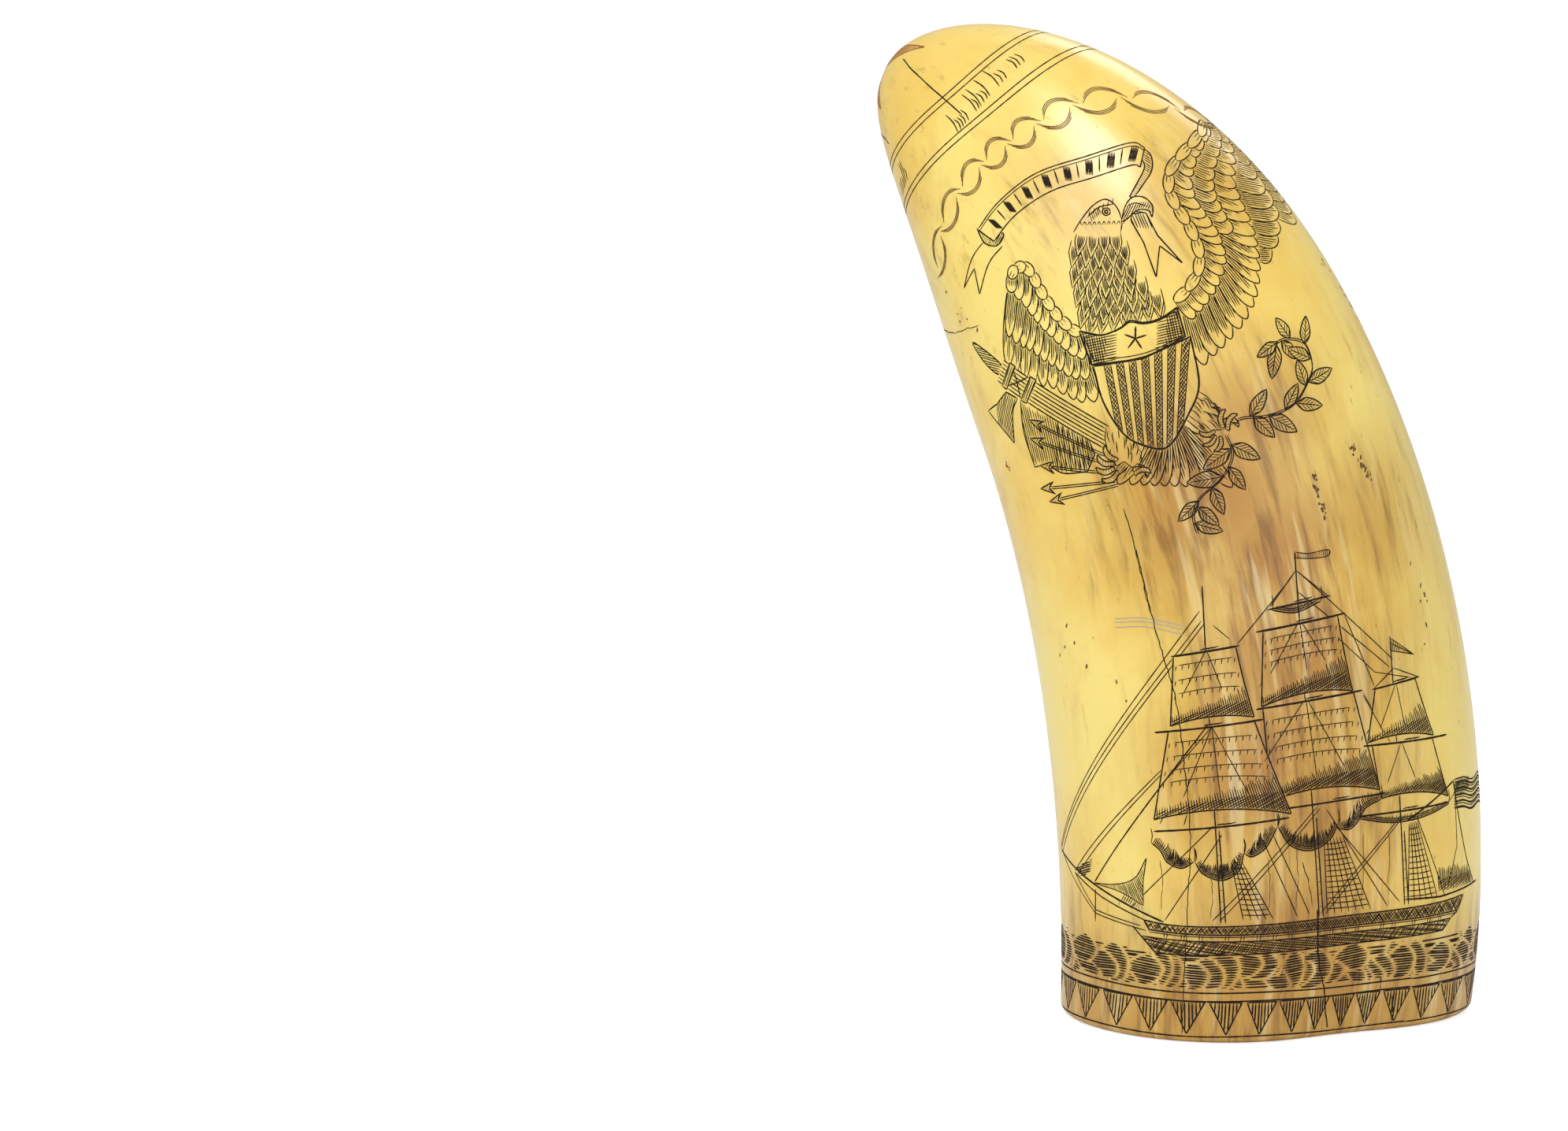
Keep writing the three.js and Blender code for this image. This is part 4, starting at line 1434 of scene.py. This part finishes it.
def twisted_ribbon(sheet, start, turn, lens_lengths, thick=1.9):
    """A twisted ribbon: long hatched lenses with a small diamond between each two."""
    at = np.array(start, float)
    for length in lens_lengths:
        upper = curve([(0, 0), (length * 0.5, thick * 0.5), (length, 0)])
        lens = np.vstack([upper, upper[::-1] * (1, -0.8)])
        outline = moved(lens, at, turn)
        sheet.hatch(outline, turn + 78, 0.42)
        sheet.line(outline, PEN)
        at = at + polar(turn, length)
        knot = moved([(0, 0), (1.4, 1.0), (3.8, 1.5), (5.4, 0.1), (3.9, -0.2), (1.9, -1.4)], at, turn)
        sheet.hatch(knot, turn + 68, 0.36)
        sheet.line(knot, PEN, closed=True)
        at = at + polar(turn, 5.2)


def love_token(sheet):
    """The hearts and what stands about them, in their own chart."""
    hearts(sheet)
    wreath(sheet)
    sprig(sheet)
    scroll(sheet)
    marks(sheet, (20.5, 117.6), -29, 17.5, 4.6, 11)
    marks(sheet, (-8.6, 95.2), -18, 46, 4.0, 12)
    marks(sheet, (-10.8, 87.6), -16, 50, 3.6, 13)
    marks(sheet, (-21.8, 80.2), -14.5, 66, 4.4, 14)
    flare = [(-25.6, 75.9), (-24.3, 78.9), (-22.8, 76.5)]
    sheet.hatch(flare, 60, 0.36)
    sheet.line(flare, PEN, closed=True)
    twisted_ribbon(sheet, (-22.8, 76.5), -18.5, (10.6,))


def lower_ribbon(sheet):
    """The same ribbon further along, in the whale's chart."""
    twisted_ribbon(sheet, (4.6, 70.8), -14, (11.6, 11.6, 8.0))
    twisted_ribbon(sheet, (-9.6, 75.6), -17, (9.6,))


# ---- Motifs in the tooth's own lines: x runs round it, y along it ----
ROUND_MM = 30.0  # the radius at which a step on these sheets keeps its size
DEGREE = ROUND_MM * math.pi / 180


def own(points):
    """Points given as a share of the length and an angle, on the sheet."""
    return np.array([(angle * DEGREE, s * AXIS_LENGTH) for s, angle in points])


def both_sides(sheet, line, gap, width=PEN, ink="black"):
    """A line drawn twice, a gap apart."""
    line = np.array(line, float)
    normal = np.gradient(line, axis=0)
    normal = np.stack([-normal[:, 1], normal[:, 0]], axis=1)
    normal /= np.hypot(*normal.T)[:, None]
    for side in (0.5, -0.5):
        sheet.line(line + normal * side * gap, width, ink)


def strip(sheet):
    """The upright band between two double lines that parts the two pictures."""
    outer = [
        (0.05, 32.4), (0.129, 37.5), (0.231, 41), (0.357, 42), (0.448, 41.5), (0.574, 39.5),
        (0.674, 38.5), (0.757, 35.5), (0.852, 28.5),
    ]
    inner = [
        (0.05, 49), (0.14, 50.5), (0.241, 52), (0.367, 52), (0.467, 51.5), (0.596, 49), (0.686, 48.5),
        (0.77, 47.5), (0.852, 46.5),
    ]
    for line in (outer, inner):
        both_sides(sheet, curve(own(line)), 0.95, PEN)
    for s, angle, length, seed in ((0.165, 47.2, 5.5, 31), (0.243, 49.2, 9.0, 32), (0.34, 49.8, 6.5, 33),
                                   (0.42, 49.6, 7.5, 34)):
        marks(sheet, own([(s, angle)])[0], 90, length, 3.1, seed)


def rings(sheet):
    """Two pairs of lines round the tip."""
    angle = np.linspace(0, 360, 121)
    turn = np.cos(np.radians(angle))
    for s in (0.868 - 0.018 * turn, 0.911 - 0.023 * turn):
        both_sides(sheet, own(zip(s, angle)), 1.1, PEN)


def ring_marks(sheet):
    """Groups of plain strokes between the rings."""
    for first, last, seed in ((12, 36, 21), (60, 122, 22), (232, 250, 23), (284, 336, 24)):
        middle = (first + last) / 2
        s = 0.868 - 0.018 * math.cos(math.radians(middle)) + 0.0105
        marks(sheet, own([(s, first)])[0], 0, (last - first) * DEGREE, 4.2, seed)


def chain(sheet):
    """Long links, each of hair-thin arcs, round the shoulder below the rings."""
    path = curve(own([
        (0.784, 237), (0.813, 250.5), (0.826, 272), (0.824, 293), (0.817, 316), (0.806, 334),
        (0.789, 348), (0.77, 358), (0.752, 367), (0.742, 375),
    ]))
    links = 9
    for i in range(links):
        a, b = along_curve(path, (i + 0.04) / links), along_curve(path, (i + 0.96) / links)
        turn = heading(a, b)
        chain_link(sheet, (a + b) / 2, turn, distance(a, b), 4.0)


def border(sheet):
    """Hatched triangles round the root, under a double line. Here y is the height above the root."""
    whole = 360 * DEGREE
    x = np.linspace(0, whole, 181)
    for z in (8.6, 7.2, 1.25):
        sheet.line(np.stack([x, z + 0.12 * np.sin(x * 0.21)], axis=1), PEN * 1.1)
    pitch = whole / 32
    for i in range(32):
        a = i * pitch + sheet.random.uniform(-0.2, 0.2)
        tip = a + pitch * sheet.random.uniform(0.44, 0.56)
        triangle = [(a + 0.25, 7.05), (a + pitch - 0.3, 7.05), (tip, 1.6)]
        sheet.hatch(triangle, 90 + sheet.random.uniform(-5, 5), 0.58, PEN * 1.1)
        sheet.line(triangle, PEN, closed=True)


def tip_star(sheet):
    """A hatched star on the very tip. Here the sheet's middle is the tip, and its right is angle 0."""
    for turn, reach in ((20, 15), (92, 13), (168, 9), (248, 12), (326, 16)):
        spike = moved([(1.0, -2.2), (reach * 0.45, -1.9), (reach, 0), (reach * 0.45, 1.9), (1.0, 2.2)],
                      (0, 0), turn)
        sheet.hatch(spike, turn + 68, 0.55, PEN, "red")
        sheet.line(spike, PEN, "red", closed=True)
        sheet.cover(spike)


def tip_cracks(sheet):
    """Old cracks over the tip."""
    lines = [
        [(0.972, 312), (0.958, 304), (0.945, 300), (0.924, 296), (0.9, 294), (0.876, 293)],
        [(0.93, 80), (0.941, 94.5), (0.956, 107), (0.972, 140), (0.98, 177)],
        [(0.93, 150), (0.955, 128), (0.962, 104)],
        [(0.966, 225), (0.95, 236), (0.938, 240)],
        [(0.952, 96), (0.95, 70), (0.958, 52)],
    ]
    for line in lines:
        sheet.line(curve(own(line)), PEN)


# ---- Age: cracks, nicks and scuffs ----
def crack(sheet, points, width=PEN, ink="black"):
    """A crack that wanders a little either side of its course and thins out towards its end."""
    line = resample(curve(points), 0.8)
    line[1:-1] += sheet.random.uniform(-0.12, 0.12, (len(line) - 2, 2))
    half = len(line) // 2 + 1
    sheet.line(line[:half], width, ink)
    sheet.line(line[half - 1 :], width * 0.8, ink)


def pits(sheet, start, end, count, spread, size, ink="brown"):
    """Short nicks scattered along a line."""
    for _ in range(count):
        spot = between(start, end, sheet.random.rand()) + sheet.random.uniform(-spread, spread, 2)
        reach = size * sheet.random.uniform(0.3, 1.0)
        way = polar(90 + sheet.random.uniform(-25, 25), reach)
        sheet.line([spot, spot + way * 0.5 + (0.08, 0), spot + way], sheet.random.uniform(0.2, 0.5), ink)


def ship_age(sheet):
    """Cracks, nicks and a scuff about the ship."""
    crack(sheet, [
        (-17.9, 80), (-14.6, 68), (-10.7, 55.7), (-9.0, 44), (-7.9, 34), (-8.2, 18), (-8.6, 1),
    ], FINE)
    crack(sheet, [(13.8, 22), (14.4, 14), (15.8, 8), (16.8, 1)], BOLD)
    crack(sheet, [(28.8, 6.0), (29.2, 3.0), (28.9, 0.6)], BOLD)
    crack(sheet, [(26.4, 9.6), (26.6, 7.2)], PEN)
    crack(sheet, [(10.8, 30.0), (12.2, 26.0), (12.8, 22.6)], FINE)
    for x, low, high in ((-12.8, 22, 30), (-4.6, 21, 29), (4.8, 22, 31), (9.6, 22, 33), (21.6, 23, 34),
                         (26.4, 25, 34)):
        crack(sheet, [(x, high), (x + 0.5, (low + high) / 2), (x + 0.3, low)], FINE * 0.8, "brown")
    for z in (67.2, 68.0, 68.6):
        sheet.line(curve([(-21.5, z), (-16, z + 0.5), (-10, z - 0.4)]), FINE, "grey")
    pits(sheet, (31, 76), (34, 62), 9, 1.8, 0.9)
    pits(sheet, (-32, 68), (-22, 52), 7, 4.0, 0.8)


def eagle_age(sheet):
    """Cracks and nicks about the eagle."""
    crack(sheet, [(-40, 111), (-33, 111.2), (-28.6, 112.4), (-25, 113.4)], FINE)
    crack(sheet, [(2, 86.4), (4.2, 80), (7, 70)], FINE)
    pits(sheet, (39, 96.8), (43.6, 90.4), 26, 0.4, 0.8, "brown")
    pits(sheet, (32.6, 92), (35.2, 85), 26, 0.4, 0.8, "brown")
    pits(sheet, (-32, 120), (-26, 110), 6, 2.0, 0.8)
    pits(sheet, (-22, 91), (-20, 90), 7, 0.5, 0.6, "red")


def whale_age(sheet):
    """Cracks up from the root, and nicks, about the whale."""
    for x, high, width in ((-3, 9, PEN), (4, 9, BOLD), (15.5, 20, PEN), (22, 14, BOLD)):
        crack(sheet, [(x, high), (x + 0.3, high * 0.5), (x + 0.1, 0.8)], width)
    pits(sheet, (-20, 40), (-16, 22), 18, 3.0, 0.8)
    pits(sheet, (38, 52), (44, 60), 20, 3.0, 1.0)


def hearts_age(sheet):
    """Nicks about the hearts."""
    pits(sheet, (-24, 124), (-26, 112), 14, 1.0, 1.0)
    pits(sheet, (40, 108), (47, 88), 40, 3.4, 1.1)
    pits(sheet, (5, 79), (9, 77), 7, 1.2, 0.7)


# ---- From flat sheets to the tooth ----
def dense_surface():
    """A fine grid of points of the outside, from which the charts are measured."""
    tip = TIP_FROM + (1 - TIP_FROM) * np.sin(np.linspace(0, np.pi / 2, 110))
    s = np.concatenate([np.linspace(0, TIP_FROM, 430), tip[1:]])
    angle = np.linspace(0, 2 * np.pi, 720, endpoint=False)
    return outer_point(*np.meshgrid(s, angle, indexing="ij"))


def slice_at(surface, z):
    """The closed outline of the tooth at a height."""
    heights = surface[..., 2]
    above = np.clip(np.argmax(heights >= z, axis=0), 1, len(surface) - 1)
    column = np.arange(surface.shape[1])
    low, high = surface[above - 1, column], surface[above, column]
    share = np.clip((z - low[:, 2]) / np.maximum(high[:, 2] - low[:, 2], 1e-9), 0, 1)[:, None]
    return (low + (high - low) * share)[heights.max(0) >= z]


class Picture:
    """Wraps a sheet on the tooth as it is seen from one side.

    The sheet's y is the height. Its x is the way round the level slice of the tooth at that height, from the
    upright plane that lies start millimetres to the right of the frame's origin.
    """

    CELL = 0.5

    def __init__(self, azimuth, start, left, right, low, high):
        self.left, self.low = left, low
        turn = math.radians(azimuth)
        rightward = np.array([math.cos(turn), math.sin(turn), 0])
        viewer = np.array([math.sin(turn), -math.cos(turn), 0])
        surface = dense_surface()
        columns = np.arange(left, right + self.CELL, self.CELL)
        heights = np.arange(low, high + self.CELL, self.CELL)
        slices = [slice_at(surface, z) for z in heights]
        self.table = np.array([self.row(ring, rightward, viewer, start, columns) for ring in slices])
        normal = np.cross(np.gradient(self.table, axis=1), np.gradient(self.table, axis=0))
        self.normals = normal / np.linalg.norm(normal, axis=-1, keepdims=True)

    def row(self, ring, rightward, viewer, start, columns):
        x, depth = ring @ rightward - start, ring @ viewer
        after = np.roll(x, -1)
        crossings = np.flatnonzero((x * after <= 0) & (x != after))
        k = crossings[np.argmax(depth[crossings])]
        share = x[k] / (x[k] - after[k])
        first = ring[k] + (np.roll(ring, -1, 0)[k] - ring[k]) * share
        ordered = np.vstack([first, np.roll(ring, -(k + 1), 0), first])
        along = np.concatenate([[0], np.cumsum(np.linalg.norm(np.diff(ordered, axis=0), axis=1))])
        return np.stack([np.interp(columns % along[-1], along, ordered[:, i]) for i in range(3)], axis=-1)

    def __call__(self, points):
        u = np.clip((points[:, 0] - self.left) / self.CELL, 0, self.table.shape[1] - 1.001)
        v = np.clip((points[:, 1] - self.low) / self.CELL, 0, self.table.shape[0] - 1.001)
        i, j = u.astype(int), v.astype(int)
        a, b = (u - i)[:, None], (v - j)[:, None]
        blended = []
        for table in (self.table, self.normals):
            lower = table[j, i] * (1 - a) + table[j, i + 1] * a
            upper = table[j + 1, i] * (1 - a) + table[j + 1, i + 1] * a
            blended.append(lower * (1 - b) + upper * b)
        return blended


def with_normals(s, angle):
    """Points of the outside with their outward normals."""
    ds, da = 1e-4, 1e-3
    point = outer_point(s, angle)
    along = outer_point(s + ds, angle) - outer_point(s - ds, angle)
    around = outer_point(s, angle + da) - outer_point(s, angle - da)
    normal = np.cross(around, along)
    return point, normal / np.linalg.norm(normal, axis=-1, keepdims=True)


def on_own_lines(points):
    return with_normals(np.clip(points[:, 1] / AXIS_LENGTH, 0.001, 0.999), points[:, 0] / ROUND_MM)


def by_height(points):
    """Round the tooth as in on_own_lines, but y is the height above the root."""
    angle, s = points[:, 0] / ROUND_MM, points[:, 1] / AXIS_LENGTH
    for _ in range(6):
        s = np.clip(s + (points[:, 1] - outer_point(s, angle)[:, 2]) / AXIS_LENGTH, 0.001, 0.999)
    return with_normals(s, angle)


def about_tip(points):
    """The sheet's middle is the tip, and its right is angle 0."""
    s = np.linspace(1, 0.8, 400)
    line = outer_point(s, np.zeros(400))
    away = np.concatenate([[0], np.cumsum(np.linalg.norm(np.diff(line, axis=0), axis=1))])
    reach = np.hypot(points[:, 0], points[:, 1])
    return with_normals(np.interp(reach, away, s).clip(0.001, 0.9985), np.arctan2(points[:, 1], points[:, 0]))


# ---- Ink ----
LIFT = 0.018  # of a stroke's edges above the ivory, in millimetres
SINK = 0.1  # of its middle below it
BEND = 0.016  # how far a thinned line may leave the drawn one
LONGEST = 0.85  # piece of a stroke, so that it follows the tooth's curve


def thinned(points):
    """The line with only the points that its shape and the tooth's curve need."""
    keep = {0, len(points) - 1}
    spans = [(0, len(points) - 1)]
    while spans:
        first, last = spans.pop()
        if last - first < 2:
            continue
        chord = points[last] - points[first]
        length = np.hypot(*chord)
        inner = points[first + 1 : last] - points[first]
        if length < 1e-9:
            off = np.hypot(*inner.T)
        else:
            off = np.abs(inner[:, 0] * chord[1] - inner[:, 1] * chord[0]) / length
        worst = first + 1 + int(off.argmax())
        if off.max() <= BEND:
            if length <= LONGEST:
                continue
            worst = (first + last) // 2
        keep.add(worst)
        spans += [(first, worst), (worst, last)]
    return points[sorted(keep)]


def stroke_mesh(name, strokes, wrap, seed):
    """All the strokes of one ink as thin closed wedges, tapered at both ends."""
    dice = np.random.RandomState(seed)
    lines = [thinned(points) for points, _ in strokes]
    counts = [len(line) for line in lines]
    centre, normal = wrap(np.vstack(lines))
    vertices, faces, start = [], [], 0
    for line, (_, width), count in zip(lines, strokes, counts):
        p, n = centre[start : start + count], normal[start : start + count]
        start += count
        way = np.gradient(p, axis=0)
        side = np.cross(n, way)
        side /= np.maximum(np.linalg.norm(side, axis=1, keepdims=True), 1e-9)
        half = width / 2 * dice.uniform(0.86, 1.14, count)
        half[0] *= 0.45
        half[-1] *= 0.45
        base = len(vertices)
        reach = side * half[:, None]
        rows = np.stack([p + reach + n * LIFT, p - reach + n * LIFT, p - n * SINK], axis=1)
        vertices.extend(rows.reshape(-1, 3))
        for i in range(count - 1):
            a, b = base + 3 * i, base + 3 * i + 3
            for k in range(3):
                j = (k + 1) % 3
                faces.append((a + k, b + k, b + j, a + j))
        last = base + 3 * (count - 1)
        faces.append((base, base + 1, base + 2))
        faces.append((last + 2, last + 1, last))
    mesh = bpy.data.meshes.new(name)
    mesh.from_pydata((np.array(vertices) * MM).tolist(), [], faces)
    return mesh


def ink_material(name, colour):
    """Dry, dull ink."""
    n = Nodes(name)
    n.set(Base_Color=colour, Roughness=0.75, Specular_IOR_Level=0.15)
    return n.material


INKS = {
    "black": linear(40, 30, 20),
    "brown": linear(112, 82, 52),
    "red": linear(150, 84, 50),
    "grey": linear(176, 168, 156),
}
made_inks = {name: ink_material(f"{name}_ink", colour) for name, colour in INKS.items()}


def engrave(name, draw, wrap, seed):
    """Draws a motif on a sheet and cuts it into the tooth, with one piece for each ink."""
    sheet = Sheet(seed)
    draw(sheet)
    for ink, material in made_inks.items():
        strokes = [(points, width) for points, width, kind in sheet.strokes if kind == ink]
        if not strokes:
            continue
        mesh = stroke_mesh(f"{name}_{ink}", strokes, wrap, seed)
        mesh.materials.append(material)
        piece = bpy.data.objects.new(f"{name}_{ink}", mesh)
        bpy.context.scene.collection.objects.link(piece)
        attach(piece, "root")


FRONT, FAR = 0.0, 155.07  # azimuths from which the two sides are drawn
FAR_ROOT = -17.645  # the root's middle as the far side sees it, in millimetres right of the origin


def engrave_all():
    ship_side = Picture(FRONT, 12.0, -50, 62, 0, 84)
    engrave("ship_age", ship_age, ship_side, 16)
    engrave("ship", ship, ship_side, 3)
    engrave("sea", lambda sheet: leafy_sea(sheet, -38, 52, 9.4, 15.4), ship_side, 4)
    eagle_side = Picture(FRONT, -10.0, -44, 48, 66, 148)
    engrave("eagle", eagle, eagle_side, 5)
    engrave("eagle_age", eagle_age, eagle_side, 17)
    far_side = Picture(FAR, FAR_ROOT, -36, 62, 0, 80)
    engrave("whale_age", whale_age, far_side, 18)
    engrave("whale", whale, far_side, 6)
    engrave("ribbon", lower_ribbon, far_side, 8)
    upper_side = Picture(FAR, FAR_ROOT + 12, -30, 62, 60, 137)
    engrave("hearts", love_token, upper_side, 7)
    engrave("hearts_age", hearts_age, upper_side, 19)
    engrave("strip", strip, on_own_lines, 9)
    engrave("rings", rings, on_own_lines, 10)
    engrave("ring_marks", ring_marks, on_own_lines, 11)
    engrave("chain", chain, on_own_lines, 12)
    engrave("border", border, by_height, 13)
    engrave("tip_star", tip_star, about_tip, 14)
    engrave("tip_cracks", tip_cracks, on_own_lines, 15)


# ---- Stage, lights and camera ----
PICTURE_WIDTH = 258.0  # of the plane through the tooth, in millimetres, as wide as the picture
VIEW_DISTANCE = 1148.0
VIEW_ELEVATION = 9.1
VIEW_ROLL = -1.49
AIM_HEIGHT = 78.3  # the point of the tooth that the view is turned about
TOOTH_RIGHT = 0.3116  # how far right of the picture's middle it lies, as a share of the width
TOOTH_UP = 0.0325  # and how far above, as a share of the height
PICTURE_SHAPE = 1990 / 1436
AIR_LIGHT = 0.46  # strength of the air as a light
FLOOR_GLOW = 0.65  # strength of the floor's own light, seen by the camera alone
FLOOR_REACH = 6.0  # from its middle to each side, in metres
FLOOR_DROP = 0.00005  # below the tooth, so that the two don't touch


def add_camera():
    camera = bpy.data.objects.new("camera", bpy.data.cameras.new("camera"))
    bpy.context.scene.collection.objects.link(camera)
    camera.data.sensor_width = 36
    camera.data.lens = 36 * VIEW_DISTANCE / PICTURE_WIDTH
    camera.data.clip_start, camera.data.clip_end = 0.05, 20
    elevation = math.radians(VIEW_ELEVATION)
    back = Vector((0, -math.cos(elevation), math.sin(elevation)))
    target = Vector((OFFSET[0], OFFSET[1], AIM_HEIGHT)) * MM
    right = Vector((1, 0, 0))
    facing = Matrix((right, back.cross(right), back)).transposed()
    pan = math.atan(TOOTH_RIGHT * PICTURE_WIDTH / VIEW_DISTANCE)
    tilt = math.atan(TOOTH_UP * PICTURE_WIDTH / PICTURE_SHAPE / VIEW_DISTANCE)
    turned = Matrix.Rotation(math.radians(-VIEW_ROLL), 3, "Z")
    turned = Matrix.Rotation(pan, 3, "Y") @ Matrix.Rotation(-tilt, 3, "X") @ turned
    place = Matrix.Translation(target + back * VIEW_DISTANCE * MM)
    camera.matrix_world = place @ (facing @ turned).to_4x4()
    bpy.context.scene.camera = camera


def add_stage():
    """A wide white floor under the tooth, which glows to the camera alone."""
    n = Nodes("studio_white")
    n.set(Base_Color=linear(250, 250, 250), Roughness=0.9)
    seen = n.add("ShaderNodeLightPath").outputs["Is Camera Ray"]
    n.set(Emission_Color=(1.0, 1.0, 1.0, 1.0), Emission_Strength=n.math("MULTIPLY", seen, FLOOR_GLOW))
    mesh = bpy.data.meshes.new("studio_floor")
    corners = [(x * FLOOR_REACH, y * FLOOR_REACH, -FLOOR_DROP) for x,
               y in ((-1, -1), (1, -1), (1, 1), (-1, 1))]
    mesh.from_pydata(corners, [], [(0, 1, 2, 3)])
    mesh.materials.append(n.material)
    floor = bpy.data.objects.new("studio_floor", mesh)
    bpy.context.scene.collection.objects.link(floor)


def add_light(name, azimuth, elevation, distance, size, power, tint=(1, 1, 1)):
    lamp = bpy.data.lights.new(name, "AREA")
    lamp.shape = "RECTANGLE"
    lamp.size, lamp.size_y = size
    lamp.energy = power
    lamp.color = tint
    light = bpy.data.objects.new(name, lamp)
    bpy.context.scene.collection.objects.link(light)
    a, e = math.radians(azimuth), math.radians(elevation)
    back = Vector((math.sin(a) * math.cos(e), -math.cos(a) * math.cos(e), math.sin(e)))
    light.location = Vector((0, 0, AIM_HEIGHT * MM)) + back * distance
    light.rotation_mode = "QUATERNION"
    light.rotation_quaternion = (-back).to_track_quat("-Z", "Y")


def add_air():
    """The studio's air: white to look at, and a dimmer, even light on everything."""
    world = bpy.data.worlds.new("studio_air")
    world.use_nodes = True
    nodes, links = world.node_tree.nodes, world.node_tree.links
    soft = nodes["Background"]
    soft.inputs["Strength"].default_value = AIR_LIGHT
    white = nodes.new("ShaderNodeBackground")
    for background in (soft, white):
        background.inputs["Color"].default_value = (1, 1, 1, 1)
    path = nodes.new("ShaderNodeLightPath")
    mix = nodes.new("ShaderNodeMixShader")
    links.new(path.outputs["Is Camera Ray"], mix.inputs[0])
    links.new(soft.outputs[0], mix.inputs[1])
    links.new(white.outputs[0], mix.inputs[2])
    links.new(mix.outputs[0], nodes["World Output"].inputs["Surface"])
    bpy.context.scene.world = world


def add_lights():
    add_air()
    add_light("key", -28, 58, 0.9, (0.3, 0.3), 4.2)
    add_light("fill", 22, 14, 1.4, (1.2, 1.0), 3.4)
    add_light("back", 160, 42, 1.2, (0.7, 0.5), 3.0)
    bpy.context.scene.view_settings.view_transform = "Standard"


add_camera()
add_stage()
add_lights()
tooth = make_tooth()
tooth.data.materials.append(ivory_material())
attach(tooth, "root")
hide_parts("tooth")
engrave_all()
